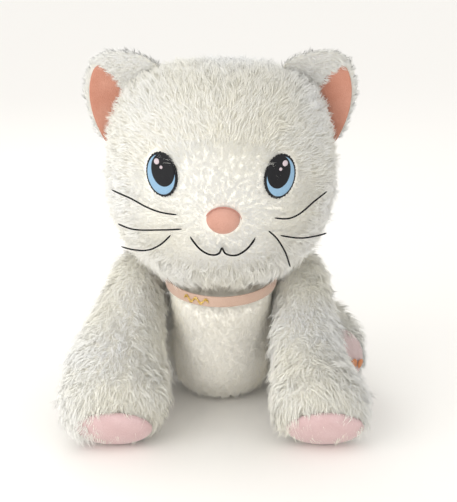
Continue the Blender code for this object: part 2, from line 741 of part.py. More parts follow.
def collar_strip(name, start, end, steps, inner, outer, half_heights, colour, roughness=0.9):
    """A strip of the collar between two angles; half_heights gives its outline."""
    rings = []
    for i in range(steps + 1):
        angle = start + (end - start) * i / steps
        half = half_heights[i] if isinstance(half_heights, list) else half_heights
        rings.append([collar_point(angle, inner, -half), collar_point(angle, outer, -half),
                      collar_point(angle, outer, half), collar_point(angle, inner, half)])
    points = [p for ring in rings for p in ring]
    faces = faces_of(4, len(rings), False, False, False)
    faces.append((3, 2, 1, 0))
    last = (len(rings) - 1) * 4
    faces.append((last, last + 1, last + 2, last + 3))
    return add_body(name, points, faces, colour, roughness, smooth=False)


def make_collar():
    outer = COLLAR_INNER + COLLAR_THICK
    half = COLLAR_HEIGHT / 2.0
    collar_strip("collar_band", -180.0 + COLLAR_OPEN, 180.0 - COLLAR_OPEN, COLLAR_COUNT,
                 COLLAR_INNER, outer, half, COLLAR_PINK)
    collar_strip("collar_fastener", 166.0, 194.0, 4, outer + GAP, outer + GAP + 0.0012,
                 half * 0.86, COLLAR_PINK)
    outline = []
    for i in range(11):
        outline.append(0.0036 if i % 2 else 0.0016)
    collar_strip("collar_motif", -34.0, -12.0, 10, outer + GAP, outer + GAP + 0.0008,
                 outline, GOLD_FOIL, roughness=0.35)


clear_scene()
make_head()
make_face()
make_ears()
make_torso()
make_limbs()
make_tail()
make_collar()
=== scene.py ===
"""Looks of a seated long-pile plush cat: padded skins, pile, stitched face, collar and soles.

Left and right are the cat's own: its left side is at +X and its face looks along -Y.
"""

from math import cos, pi, radians, sin

import bpy
import numpy as np
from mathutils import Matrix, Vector
from mathutils.kdtree import KDTree


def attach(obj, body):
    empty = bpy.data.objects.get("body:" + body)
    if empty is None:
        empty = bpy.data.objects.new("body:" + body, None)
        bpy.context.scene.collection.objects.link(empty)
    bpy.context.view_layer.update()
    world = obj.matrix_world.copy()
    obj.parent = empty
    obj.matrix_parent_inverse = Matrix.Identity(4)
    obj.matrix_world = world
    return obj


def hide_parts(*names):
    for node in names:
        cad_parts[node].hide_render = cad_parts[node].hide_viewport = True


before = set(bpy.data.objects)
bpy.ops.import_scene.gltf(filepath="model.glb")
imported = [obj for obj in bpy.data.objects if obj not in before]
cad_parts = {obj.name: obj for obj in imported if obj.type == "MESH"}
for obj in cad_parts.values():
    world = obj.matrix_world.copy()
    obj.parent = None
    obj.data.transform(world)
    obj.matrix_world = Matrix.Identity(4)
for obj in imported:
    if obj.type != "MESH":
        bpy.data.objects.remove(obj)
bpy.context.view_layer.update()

# ---------------------------------------------------------------- sizes, in metres
BACK = 0.05286             # the head's middle is this far in front of the origin
NECK = np.array((0.0, 0.005 - BACK, 0.175))
HEAD = np.array((0.0, -0.010 - BACK, 0.277))
HEAD_HALF = np.array((0.119, 0.106, 0.117))
HEAD_SQUARE = 2.3
CHIN_BACK = 0.015
NOSE_X = 0.0030
NOSE_Z = 0.2535
NOSE_HALF = (0.0158, 0.0138)
EYES = {1.0: (0.0566, 0.2935), -1.0: (0.0548, 0.2955)}
EYE_HALF = np.array((0.0150, 0.0212))
EYE_LEAN = 8.0

SIDES = ((1.0, "left"), (-1.0, "right"))


# ---------------------------------------------------------------- working by hand
def deselect():
    for thing in bpy.context.selected_objects:
        thing.select_set(False)


def pick(thing):
    deselect()
    thing.select_set(True)
    bpy.context.view_layer.objects.active = thing


def ball(name, segments=48, rings=32):
    """A unit ball, to be shaped point by point."""
    deselect()
    bpy.ops.mesh.primitive_uv_sphere_add(segments=segments, ring_count=rings, radius=1.0)
    thing = bpy.context.object
    thing.name = name
    thing.data.name = name
    bpy.ops.object.shade_smooth()
    return thing


def points_of(thing):
    points = np.empty(len(thing.data.vertices) * 3)
    thing.data.vertices.foreach_get("co", points)
    return points.reshape(-1, 3)


def move_points(thing, points):
    thing.data.vertices.foreach_set("co", np.ascontiguousarray(points, float).ravel())
    thing.data.update()


def outward(thing):
    """Turn every face to point out of a closed piece."""
    pick(thing)
    bpy.ops.object.mode_set(mode="EDIT")
    bpy.ops.mesh.select_all(action="SELECT")
    bpy.ops.mesh.normals_make_consistent(inside=False)
    bpy.ops.object.mode_set(mode="OBJECT")


def apply_all(thing):
    pick(thing)
    for modifier in list(thing.modifiers):
        bpy.ops.object.modifier_apply(modifier=modifier.name)


def from_arrays(name, points, corners, totals, uv=None):
    """A mesh object from plain arrays of points and of face corners."""
    mesh = bpy.data.meshes.new(name)
    mesh.vertices.add(len(points))
    mesh.vertices.foreach_set("co", np.ascontiguousarray(points, np.float32).ravel())
    mesh.loops.add(len(corners))
    mesh.loops.foreach_set("vertex_index", np.ascontiguousarray(corners, np.int32))
    mesh.polygons.add(len(totals))
    starts = np.concatenate(([0], np.cumsum(totals)[:-1])).astype(np.int32)
    mesh.polygons.foreach_set("loop_start", starts)
    mesh.polygons.foreach_set("loop_total", np.ascontiguousarray(totals, np.int32))
    if uv is not None:
        layer = mesh.uv_layers.new(name="OFBake")
        layer.data.foreach_set("uv", np.ascontiguousarray(uv, np.float32).ravel())
    mesh.update(calc_edges=True)
    mesh.validate()
    thing = bpy.data.objects.new(name, mesh)
    bpy.context.scene.collection.objects.link(thing)
    mesh.shade_smooth()
    return thing


def dress(thing, body, finish, node):
    """Finish a closed piece and say what it rides on and which node it replaces."""
    outward(thing)
    thing.data.materials.append(finish)
    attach(thing, body)
    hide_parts(node)
    return thing


def ring_faces(rings, sides):
    """Corners and sizes of a tube of rings, closed by a middle point at each end."""
    corners = []
    sizes = []
    for k in range(rings - 1):
        for i in range(sides):
            j = (i + 1) % sides
            corners += [k * sides + i, k * sides + j, (k + 1) * sides + j, (k + 1) * sides + i]
            sizes.append(4)
    total = rings * sides
    last = total - sides
    for i in range(sides):
        j = (i + 1) % sides
        corners += [total, j, i, total + 1, last + i, last + j]
        sizes += [3, 3]
    return np.array(corners), np.array(sizes)


def ease(t):
    t = np.clip(t, 0.0, 1.0)
    return t * t * (3.0 - 2.0 * t)


def unit(v):
    return v / np.maximum(np.linalg.norm(v, axis=-1, keepdims=True), 1e-9)


# ---------------------------------------------------------------- shader maths
class Wire:
    """A socket that Python arithmetic turns into Math nodes."""

    def __init__(self, finish, socket):
        self.finish = finish
        self.socket = socket

    def _maths(self, operation, first, second=None):
        slots = {0: first} if second is None else {0: first, 1: second}
        return self.finish.add("ShaderNodeMath", {"operation": operation}, slots).out()

    def __add__(self, other):
        return self._maths("ADD", self, other)

    def __sub__(self, other):
        return self._maths("SUBTRACT", self, other)

    def __mul__(self, other):
        return self._maths("MULTIPLY", self, other)

    def __rsub__(self, other):
        return self._maths("SUBTRACT", other, self)

    __radd__ = __add__
    __rmul__ = __mul__

    def least(self, other):
        return self._maths("MINIMUM", self, other)

    def most(self, other):
        return self._maths("MAXIMUM", self, other)

    def wave(self):
        return self._maths("SINE", self)


class Made:
    """A node and an easy way to its outputs."""

    def __init__(self, finish, node):
        self.finish = finish
        self.node = node

    def out(self, name=0):
        return Wire(self.finish, self.node.outputs[name])


class Finish:
    """A material with one Principled shader, built a node at a time."""

    def __init__(self, name, colour, roughness, **plain):
        self.material = bpy.data.materials.new(name)
        self.material.use_nodes = True
        self.tree = self.material.node_tree
        self.shader = self.tree.nodes["Principled BSDF"]
        self.shader.inputs["Base Color"].default_value = (*colour, 1.0)
        self.shader.inputs["Roughness"].default_value = roughness
        for key, value in plain.items():
            self.shader.inputs[key.replace("_", " ")].default_value = value

    def add(self, kind, settings=None, slots=None):
        node = self.tree.nodes.new(kind)
        for key, value in (settings or {}).items():
            if key == "stops":
                self.set_stops(node, value)
            else:
                setattr(node, key, value)
        for key, value in (slots or {}).items():
            self.feed(node.inputs[key], value)
        return Made(self, node)

    def set_stops(self, node, stops):
        ramp = node.color_ramp
        while len(ramp.elements) < len(stops):
            ramp.elements.new(0.5)
        for element, (place, colour) in zip(ramp.elements, stops):
            element.position = place
            element.color = (*colour, 1.0)

    def feed(self, slot, value):
        if isinstance(value, Wire):
            self.tree.links.new(value.socket, slot)
        else:
            slot.default_value = value

    def place(self):
        return self.add("ShaderNodeTexCoord").out("Object")

    def noise(self, scale, detail=2.0, roughness=0.5, where=None):
        return self.add("ShaderNodeTexNoise", {}, {
            "Vector": where or self.place(), "Scale": scale, "Detail": detail,
            "Roughness": roughness}).out("Fac")

    def cells(self, scale, where=None, feature="F1", output="Distance"):
        return self.add("ShaderNodeTexVoronoi", {"feature": feature}, {
            "Vector": where or self.place(), "Scale": scale}).out(output)

    def ramp(self, value, stops):
        return self.add("ShaderNodeValToRGB", {"stops": stops}, {"Fac": value}).out("Color")

    def blend(self, share, first, second):
        node = self.add("ShaderNodeMix", {"data_type": "RGBA"}, {0: share})
        for slot, value in ((6, first), (7, second)):
            if isinstance(value, tuple):
                value = (*value, 1.0)
            self.feed(node.node.inputs[slot], value)
        return node.out(2)

    def colour(self, value):
        self.feed(self.shader.inputs["Base Color"], value)
        return self

    def rough(self, value):
        self.feed(self.shader.inputs["Roughness"], value)
        return self

    def relief(self, height, depth, strength=1.0):
        bump = self.add("ShaderNodeBump", {}, {
            "Height": height, "Distance": depth, "Strength": strength})
        self.feed(self.shader.inputs["Normal"], bump.out("Normal"))
        return self


# ---------------------------------------------------------------- finishes
def pile_finish(name, root, middle, tip, sheen=0.35):
    """Pile: the map runs across the shades and up from root to tip; each hair darkens and warms
    towards its root as painted shade deep in the pile.
    """
    made = Finish(name, tip, 0.62, Sheen_Weight=sheen, Sheen_Roughness=0.45,
                  Specular_IOR_Level=0.12)
    made.shader.inputs["Sheen Tint"].default_value = (1.0, 0.98, 0.94, 1.0)
    chart = made.add("ShaderNodeUVMap", {"uv_map": "OFBake"}).out("UV")
    split = made.add("ShaderNodeSeparateXYZ", {}, {0: chart})
    # Painted shade: the ramp darkens and warms each hair towards its root, where the pile shades
    # itself.
    along = made.ramp(split.out("Y"), ((0.0, root), (0.45, middle), (1.0, tip)))
    warm = tuple(c * k for c, k in zip(tip, (0.96, 0.905, 0.72)))
    cream = made.blend(split.out("X") * 0.75, along, warm)
    return made.colour(cream).material


def backing_finish(name, colour, deep):
    """The knitted backing that shows between the roots of the pile."""
    made = Finish(name, colour, 0.85, Sheen_Weight=0.3)
    tufts = made.noise(420.0, 3.0, 0.6)
    broad = made.noise(22.0, 2.0)
    made.colour(made.blend(tufts * 0.5 + broad * 0.5, deep, colour))
    return made.relief(tufts, 0.0012).material


def velour_finish(name, colour, deep, grain=900.0, sheen=0.6, depth=0.0006):
    """Short velour: fine nap, with broad strokes where it has been brushed."""
    made = Finish(name, colour, 0.78, Sheen_Weight=sheen, Sheen_Roughness=0.4,
                  Specular_IOR_Level=0.2)
    made.shader.inputs["Sheen Tint"].default_value = (1.0, 0.92, 0.9, 1.0)
    nap = made.noise(grain, 2.0, 0.7)
    strokes = made.noise(45.0, 3.0, 0.55)
    share = (nap * 0.45 + strokes * 0.55 - 0.5) * 1.9 + 0.5
    made.colour(made.blend(share.least(1.0).most(0.0), deep, colour))
    return made.relief(nap + strokes * 0.3, depth).material


def satin_finish(name, colour, light, turn=0.0, sheen=0.2, rough=0.42, shine=0.4):
    """Satin stitch: close parallel threads of glossy rayon."""
    made = Finish(name, colour, rough, Sheen_Weight=sheen, Specular_IOR_Level=shine)
    split = made.add("ShaderNodeSeparateXYZ", {}, {0: made.place()})
    across = split.out("X") * cos(radians(turn)) + split.out("Z") * sin(radians(turn))
    wander = made.noise(160.0, 2.0) * 0.0009
    threads = ((across + wander) * (2.0 * pi / 0.00085)).wave() * 0.5 + 0.5
    fleck = made.noise(700.0, 2.0)
    made.colour(made.blend(threads * 0.55 + fleck * 0.45, colour, light))
    made.rough(threads * 0.16 + (rough - 0.08))
    return made.relief(threads, 0.00022).material


def glitter_finish(name, base, bright, dark):
    """Glitter foil: small flakes, each at its own tilt and brightness."""
    made = Finish(name, base, 0.3, Metallic=0.75)
    flakes = made.cells(1500.0, output="Color")
    shade = made.add("ShaderNodeSeparateXYZ", {}, {0: flakes})
    made.colour(made.ramp(shade.out("X"), ((0.0, dark), (0.45, base), (1.0, bright))))
    made.rough(shade.out("Y") * 0.4 + 0.15)
    return made.relief(shade.out("Z"), 0.0006).material


WHITE_TIP = (0.955, 0.960, 0.960)
WHITE_MIDDLE = (0.945, 0.945, 0.925)
# The root colour is painted shade deep in the pile, and the middle is a step towards it.
WHITE_ROOT_SHADE = (0.92, 0.88, 0.75)

fur_pile = pile_finish("white_pile", WHITE_ROOT_SHADE, WHITE_MIDDLE, WHITE_TIP)
# The short pile's root colour is also painted shade at the base of the nap.
belly_pile = pile_finish("white_short_pile", (0.89, 0.85, 0.77), (0.93, 0.915, 0.88),
                         (0.945, 0.935, 0.915))
fur_backing = backing_finish("pile_backing", (0.95, 0.93, 0.87), (0.86, 0.82, 0.71))
lining_velour = velour_finish("ear_velour", (0.60, 0.31, 0.23), (0.42, 0.16, 0.10), sheen=0.4)
sole_plush = velour_finish("sole_plush", (0.66, 0.49, 0.485), (0.53, 0.35, 0.345), grain=700.0)
hind_sole_plush = velour_finish("hind_sole_plush", (0.66, 0.54, 0.53), (0.54, 0.41, 0.40),
                                grain=700.0)
nose_velour = velour_finish("nose_velour", (0.60, 0.34, 0.27), (0.47, 0.23, 0.17), sheen=0.3)
collar_velour = velour_finish("collar_velour", (0.57, 0.41, 0.32), (0.46, 0.31, 0.24), sheen=0.4)
black_thread = satin_finish("black_satin", (0.004, 0.004, 0.005), (0.014, 0.014, 0.017), 90.0,
                            sheen=0.0, rough=0.5, shine=0.25)
blue_thread = satin_finish("blue_satin", (0.16, 0.32, 0.50), (0.33, 0.50, 0.64), 0.0, sheen=0.05)
shine_thread = satin_finish("shine_satin", (0.52, 0.42, 0.45), (0.70, 0.61, 0.64), 90.0,
                            sheen=0.0)
edge_thread = satin_finish("nose_edge_satin", (0.42, 0.17, 0.13), (0.58, 0.27, 0.21), 0.0)
cord_thread = satin_finish("black_cord", (0.003, 0.003, 0.004), (0.008, 0.008, 0.009), 45.0,
                           sheen=0.0, rough=0.6, shine=0.15)
gold_glitter = glitter_finish("gold_glitter", (0.66, 0.42, 0.09), (1.0, 0.80, 0.36),
                              (0.24, 0.13, 0.02))
copper_thread = satin_finish("copper_satin", (0.50, 0.16, 0.05), (0.72, 0.28, 0.10), 60.0)


# ---------------------------------------------------------------- the head's surface
def head_spread(up):
    """The share of the head's girth at a height; squarer towards the crown."""
    power = HEAD_SQUARE + 0.4 * ease(up / 0.6)
    return (1.0 - np.abs(up) ** power) ** (1.0 / power)


def face_y(x, z):
    """Where the front of the head is at this width and height."""
    up = np.clip((z - HEAD[2]) / HEAD_HALF[2], -0.999, 0.999)
    spread = head_spread(up)
    drop = ease((90.0 - np.degrees(np.arcsin(up)) - 95.0) / 45.0)
    across = np.minimum(np.abs(x) / (HEAD_HALF[0] * spread), 0.999)
    return HEAD[1] + CHIN_BACK * drop - HEAD_HALF[1] * spread * np.sqrt(1.0 - across ** 2)


def on_face(x, z, lift):
    """Points lifted off the face along the face's own outward direction."""
    x = np.asarray(x, float)
    z = np.asarray(z, float)
    step = 0.0015
    slope_x = (face_y(x + step, z) - face_y(x - step, z)) / (2.0 * step)
    slope_z = (face_y(x, z + step) - face_y(x, z - step)) / (2.0 * step)
    out = unit(np.stack([slope_x, -np.ones_like(x), slope_z], axis=-1))
    return np.stack([x, face_y(x, z), z], axis=-1) + out * np.asarray(lift)[..., None]


def face_share(points):
    """1 on the short-napped face round the eyes and nose, 0 on the long pile."""
    reach = np.sqrt((points[:, 0] / 0.086) ** 2 + ((points[:, 2] - 0.262) / 0.062) ** 2)
    front = ease((HEAD[1] - 0.015 - points[:, 1]) / 0.05)
    return (1.0 - ease((reach - 0.72) / 0.5)) * front


HEAD_PILE = 0.0070         # depth of the long pile over the head's backing
FACE_PILE = 0.0022         # depth of the nap on the face


def head_points(sphere):
    """Carry a unit ball's points to the head's backing."""
    up = np.clip(sphere[:, 2], -1.0, 1.0)
    flat = unit(sphere[:, :2])
    inset = np.full(len(sphere), HEAD_PILE)
    points = None
    for _ in range(3):
        half = HEAD_HALF[None, :] - inset[:, None]
        spread = head_spread(np.clip(up, -0.9999, 0.9999))
        drop = ease((np.degrees(np.arccos(up)) - 95.0) / 45.0)
        points = np.stack([half[:, 0] * spread * flat[:, 0],
                           HEAD[1] + CHIN_BACK * drop + half[:, 1] * spread * flat[:, 1],
                           HEAD[2] + half[:, 2] * up], axis=1)
        share = face_share(points)
        inset = HEAD_PILE * (1.0 - share) + FACE_PILE * share
    return points


# ---------------------------------------------------------------- limbs as swept balls
def spline(knots, t):
    """A smooth line through rows of knots, t from 0 to 1."""
    knots = np.asarray(knots, float)
    last = len(knots) - 1
    place = np.clip(t, 0.0, 1.0) * last
    k = np.minimum(place.astype(int), last - 1)
    f = (place - k)[:, None]
    a = knots[np.maximum(k - 1, 0)]
    b = knots[k]
    c = knots[k + 1]
    d = knots[np.minimum(k + 2, last)]
    return 0.5 * (2 * b + (c - a) * f + (2 * a - 5 * b + 4 * c - d) * f * f
                  + (3 * b - a - 3 * c + d) * f ** 3)


def swept_points(sphere, path, reach, inset, cap_start, cap_end, floor=0.0, first=(1, 0, 0)):
    """Carry a unit ball's points along a path with a reach along each world axis."""
    polar = np.arccos(np.clip(sphere[:, 2], -1.0, 1.0)) / pi
    flat = unit(sphere[:, :2])
    share = 0.14
    t = np.clip((polar - share) / (1.0 - 2.0 * share), 0.0, 1.0)
    centre = spline(path, t)
    size = spline(reach, t) - inset
    step = 0.01
    ahead = spline(path, np.minimum(t + step, 1.0))
    tangent = unit(ahead - spline(path, np.maximum(t - step, 0.0)))
    start = np.clip(1.0 - polar / share, 0.0, 1.0)
    end = np.clip(1.0 - (1.0 - polar) / share, 0.0, 1.0)
    around = np.cos(start * pi / 2.0) * np.cos(end * pi / 2.0)
    push = np.sin(end * pi / 2.0) * cap_end - np.sin(start * pi / 2.0) * cap_start
    one = np.asarray(first, float)[None, :]
    one = unit(one - tangent * (tangent * one).sum(1, keepdims=True))
    two = np.cross(tangent, one)
    way = one * flat[:, :1] + two * flat[:, 1:]
    radius = 1.0 / np.sqrt(np.maximum(((way / size) ** 2).sum(1), 1e-6))
    points = centre + way * (radius * around)[:, None] + tangent * push[:, None]
    points[:, 2] = np.maximum(points[:, 2], floor)
    return points


# ---------------------------------------------------------------- stuffed skins
def stuffed(name, body, finish, nodes, swell, voxel=0.005, hold=None):
    """Weave the rough shape into an even cloth, blow it up a little and smooth it."""
    thing = bpy.data.objects[name]
    outward(thing)
    remesh = thing.modifiers.new("weave", "REMESH")
    remesh.mode = "VOXEL"
    remesh.voxel_size = voxel
    apply_all(thing)
    before = points_of(thing)
    cloth = thing.modifiers.new("cloth", "CLOTH")
    cloth.settings.use_pressure = True
    cloth.settings.uniform_pressure_force = 4.0
    cloth.settings.tension_stiffness = 25.0
    cloth.settings.effector_weights.gravity = 0.0
    cloth.point_cache.frame_start = 1
    cloth.point_cache.frame_end = 20
    for number in range(1, 21):
        bpy.context.scene.frame_set(number)
    apply_all(thing)
    bpy.context.scene.frame_set(1)
    after = points_of(thing)
    shift = after - before
    length = np.linalg.norm(shift, axis=1, keepdims=True)
    shift *= np.minimum(1.0, swell / np.maximum(length, 1e-9))
    after = before + shift
    if hold is not None:
        after = hold(before, after)
    move_points(thing, after)
    smooth = thing.modifiers.new("soften", "SMOOTH")
    smooth.factor = 0.5
    smooth.iterations = 3
    finer = thing.modifiers.new("finer", "SUBSURF")
    finer.levels = 1
    finer.render_levels = 1
    apply_all(thing)
    thing.data.shade_smooth()
    thing.data.materials.clear()
    thing.data.materials.append(finish)
    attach(thing, body)
    if nodes:
        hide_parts(*nodes)
    return thing


# ---------------------------------------------------------------- pile
def surface(thing):
    """Triangles, corner normals and areas of a finished skin."""
    mesh = thing.data
    mesh.calc_loop_triangles()
    points = points_of(thing)
    triangles = np.empty(len(mesh.loop_triangles) * 3, np.int32)
    mesh.loop_triangles.foreach_get("vertices", triangles)
    triangles = triangles.reshape(-1, 3)
    normals = np.empty(len(mesh.vertices) * 3)
    mesh.vertices.foreach_get("normal", normals)
    normals = normals.reshape(-1, 3)
    a, b, c = (points[triangles[:, k]] for k in range(3))
    area = np.linalg.norm(np.cross(b - a, c - a), axis=1) / 2.0
    return points, normals, triangles, area


def pile(name, thing, body, finish, count, seed, length, comb, stand=0.5, width=0.00034,
         keep=None, clump=14, gather=0.4, wild=0.35, curl=0.3, sink=0.0006, tone=None,
         straight=False, soft=0.72):
    """Grow tapering hairs from a skin, combed and loosely gathered into tufts."""
    rng = np.random.default_rng(seed)
    points, normals, triangles, area = surface(thing)
    if keep is not None:
        middle = points[triangles].mean(axis=1)
        area = area * keep(middle, unit(normals[triangles].mean(axis=1)))
    total = np.cumsum(area)
    places = (np.arange(count) + rng.random(count)) / count * total[-1]
    chosen = np.minimum(np.searchsorted(total, places), len(area) - 1)
    u = rng.random(count)
    v = rng.random(count)
    over = u + v > 1.0
    u[over] = 1.0 - u[over]
    v[over] = 1.0 - v[over]
    weights = np.stack([1.0 - u - v, u, v], axis=1)
    corner = triangles[chosen]
    root = (points[corner] * weights[:, :, None]).sum(axis=1)
    out = unit((normals[corner] * weights[:, :, None]).sum(axis=1))
    way = comb(root, out)
    way = unit(way - out * (way * out).sum(1, keepdims=True))
    long = length(root, out) * (1.0 + 0.2 * rng.standard_normal(count).clip(-1.8, 1.8))

    leaders = rng.choice(count, max(count // clump, 4), replace=False)
    tree = KDTree(len(leaders))
    for i, k in enumerate(leaders):
        tree.insert(root[k], i)
    tree.balance()
    mine = np.array([tree.find(p)[1] for p in root])
    lead_turn = rng.standard_normal(len(leaders)) * wild
    lead_long = 1.0 + rng.standard_normal(len(leaders)).clip(-1.5, 1.5) * 0.12
    lead_stand = stand * (1.0 + rng.standard_normal(len(leaders)).clip(-1.5, 1.5) * 0.2)
    lead_grip = np.clip(gather + rng.standard_normal(len(leaders)) * 0.14, 0.05, 0.9)

    def turned(vectors, axes, angles):
        side = np.cross(axes, vectors)
        return vectors * np.cos(angles)[:, None] + side * np.sin(angles)[:, None]

    way = turned(way, out, lead_turn[mine] + rng.standard_normal(count) * 0.28)
    rise = np.clip(lead_stand[mine] + rng.standard_normal(count) * 0.10, 0.08, 0.98)
    long = long * lead_long[mine]
    early = np.clip(rise + 0.28, 0.0, 0.99)
    late = np.clip(rise - 0.22, 0.03, 0.95)
    bend = rng.standard_normal(count) * curl
    side = np.cross(out, way)
    root = root - out * sink
    flat_early = np.sqrt(1.0 - early ** 2)[:, None]
    flat_late = np.sqrt(1.0 - late ** 2)[:, None]
    half = root + (out * early[:, None] + way * flat_early) * (long * 0.5)[:, None]
    run = out * late[:, None] + (way + side * bend[:, None] * 0.6) * flat_late
    tip = half + run * (long * 0.5)[:, None]

    leader = leaders[mine]
    offset = root - root[leader]
    grip = lead_grip[mine][:, None]
    tip = tip * (1.0 - grip) + (tip[leader] + offset * 0.30) * grip
    half = half * (1.0 - grip * 0.45) + (half[leader] + offset * 0.75) * grip * 0.45
    lowest = 0.0006
    tip[:, 2] = np.maximum(tip[:, 2], lowest)
    half[:, 2] = np.maximum(half[:, 2], lowest)

    thick = width * (0.8 + 0.4 * rng.random(count))
    frame_one = unit(np.cross(tip - root, out) + 1e-9)
    frame_two = unit(np.cross(frame_one, tip - root))
    rings = 1 if straight else 2
    each = rings * 3 + 1
    shape = np.empty((count, each, 3))
    spokes = np.empty((count, each, 3))
    for k in range(3):
        angle = 2.0 * pi * k / 3.0 + pi / 2.0
        spoke = frame_one * cos(angle) + frame_two * sin(angle)
        shape[:, k] = root + spoke * (thick * 0.9)[:, None]
        spokes[:, k] = spoke
        if not straight:
            shape[:, 3 + k] = half + spoke * (thick * 0.85)[:, None]
            spokes[:, 3 + k] = spoke
    shape[:, each - 1] = tip
    spokes[:, each - 1] = frame_two * 0.2
    corners = []
    if not straight:
        for k in range(3):
            j = (k + 1) % 3
            corners += [j, k, 3 + k, 3 + j]
    for k in range(3):
        corners += [each - 4 + (k + 1) % 3, each - 4 + k, each - 1]
    corners += [0, 1, 2]
    sizes = np.array([3] * 4 if straight else [4, 4, 4, 3, 3, 3, 3])
    corners = np.array(corners)
    every = (np.arange(count)[:, None] * each + corners[None, :]).ravel()
    if tone is None:
        shade = rng.random(len(leaders))[mine] * 0.35 + rng.random(count) * 0.25
    else:
        shade = tone(root) * 0.55 + rng.random(len(leaders))[mine] * 0.22 + rng.random(count) * 0.2
    shade = np.clip(shade, 0.0, 0.97)
    rise_of = np.array([0.0] * 3 + ([] if straight else [0.5] * 3) + [1.0])
    spread_of = np.array([0.0, 0.010, 0.020, 0.004, 0.008, 0.016, 0.012])[:each]
    uv = np.empty((count, len(corners), 2))
    uv[:, :, 0] = shade[:, None] + spread_of[corners][None, :]
    uv[:, :, 1] = rise_of[corners][None, :] * 0.98 + 0.01
    made = from_arrays(name, shape.reshape(-1, 3), every, np.tile(sizes, count),
                       uv.reshape(-1, 2))
    leaning = unit(out[:, None, :] * soft + spokes * (1.0 - soft))
    made.data.normals_split_custom_set_from_vertices(leaning.reshape(-1, 3).tolist())
    made.data.materials.append(finish)
    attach(made, body)
    return made


def patches(points, scale, seed):
    """Slow warm and cool patches over the pile, 0 to 1."""
    rng = np.random.default_rng(seed)
    waves = rng.standard_normal((9, 3)) * scale
    turns = rng.random(9) * 2.0 * pi
    value = np.sin(points @ waves.T + turns).mean(axis=1)
    return np.clip(0.5 + value * 1.5, 0.0, 1.0)


# ---------------------------------------------------------------- head
def make_head():
    skin = ball("head_skin_cloth", 96, 64)
    move_points(skin, head_points(points_of(skin)))

    def hold(before, after):
        share = face_share(before)[:, None]
        return after * (1.0 - share) + before * share

    skin = stuffed("head_skin_cloth", "head", fur_backing, ["head_skin",
                   "head_stuffing"], 0.0025, voxel=0.0065, hold=hold)
    nose = np.array((0.0, face_y(np.array(0.0), np.array(NOSE_Z)), NOSE_Z))

    def comb(p, n):
        away = unit(p - nose)
        behind = ease((p[:, 1] - (HEAD[1] + 0.01)) / 0.06)[:, None]
        down = np.array((0.0, 0.25, -1.0))
        side = np.abs(p[:, :1]) / 0.12
        away = away + np.array((0.0, 0.0, -0.35)) * side
        low = ease((0.215 - p[:, 2]) / 0.035)[:, None] * (1.0 - behind)
        hang = np.stack([p[:, 0] * 4.0, np.full(len(p), -0.5), np.full(len(p), -1.0)], 1)
        away = away * (1.0 - low) + hang * low
        for which, _ in SIDES:
            away = away + beside_eye(p, which)[:, None] * np.array((1.6 * which, 0.0, -0.4))
        return away * (1.0 - behind) + (away * 0.25 + down) * behind

    def beside_eye(p, which):
        """1 at the inner upper edge of an eye, where the pile laps over the stitching."""
        dx = p[:, 0] * which - EYES[which][0]
        dz = p[:, 2] - EYES[which][1]
        near = np.exp(-((dx + 0.0150) / 0.0055) ** 2 - ((dz - 0.0125) / 0.0075) ** 2)
        return near * (p[:, 0] * which > 0.0)

    def length(p, n):
        share = face_share(p)
        low = ease((0.23 - p[:, 2]) / 0.05)
        corner = ease((np.abs(p[:, 0]) - 0.045) / 0.03) * ease((p[:, 2] - 0.33) / 0.03)
        base = 0.0125 + 0.0085 * low + 0.003 * corner
        near = 0.0060
        for which, _ in SIDES:
            near = near + 0.0085 * beside_eye(p, which)
        return base * (1.0 - share) + near * share

    def tone(p):
        return patches(p, 38.0, 5) * 0.8

    def clear_of_features(p, n):
        free = np.ones(len(p))
        front = p[:, 1] < HEAD[1] - 0.03
        for side, _ in SIDES:
            lean = radians(EYE_LEAN) * side
            dx = p[:, 0] - EYES[side][0] * side
            dz = p[:, 2] - EYES[side][1]
            a = dx * cos(lean) - dz * sin(lean)
            b = dx * sin(lean) + dz * cos(lean)
            inside = (a / (EYE_HALF[0] + 0.0008)) ** 2 + (b / (EYE_HALF[1] + 0.0008)) ** 2 < 1.0
            free[inside & front] = 0.0
        inside = ((p[:, 0] - NOSE_X) / 0.0164) ** 2 + ((p[:, 2] - NOSE_Z) / 0.0142) ** 2 < 1.0
        free[inside & front] = 0.0
        under = np.linalg.norm(p - NECK, axis=1) < 0.050
        free[under] = 0.0
        return free

    def region(test):
        return lambda p, n: clear_of_features(p, n) * test(p)

    def is_face(p):
        return face_share(p) > 0.35

    def front(p):
        return ~is_face(p) & (p[:, 1] < HEAD[1] + 0.012)

    def long_hair(name, test, count, seed, width):
        pile(name, skin, "head", fur_pile, count, seed, length, comb, stand=0.55,
             width=width, keep=region(test), clump=12, gather=0.42, wild=0.32, tone=tone,
             soft=0.55)

    long_hair("head_pile_brow", lambda p: front(p) & (p[:, 2] > 0.277), 10500, 12, 0.00032)
    long_hair("head_pile_cheeks", lambda p: front(p) & (p[:, 2] <= 0.277), 11500, 13, 0.00032)
    long_hair("head_pile_back", lambda p: ~is_face(p) & ~front(p), 8000, 14, 0.00042)

    pile("head_down", skin, "head", fur_pile, 36000, 15,
         lambda p, n: length(p, n) * 0.62, comb, stand=0.62, width=0.00036,
         keep=region(lambda p: ~is_face(p)), clump=6, gather=0.2, wild=0.4, tone=tone,
         straight=True, soft=0.6)
    pile("head_pile_face", skin, "head", fur_pile, 34000, 11, length, comb,
         stand=0.36, width=0.00021, keep=region(is_face), clump=9, gather=0.42, wild=0.4,
         tone=tone, straight=True, soft=0.5)


# ---------------------------------------------------------------- features on the face
PLATE_EDGE = 0.35          # share of a plate's lift that is left at its rim


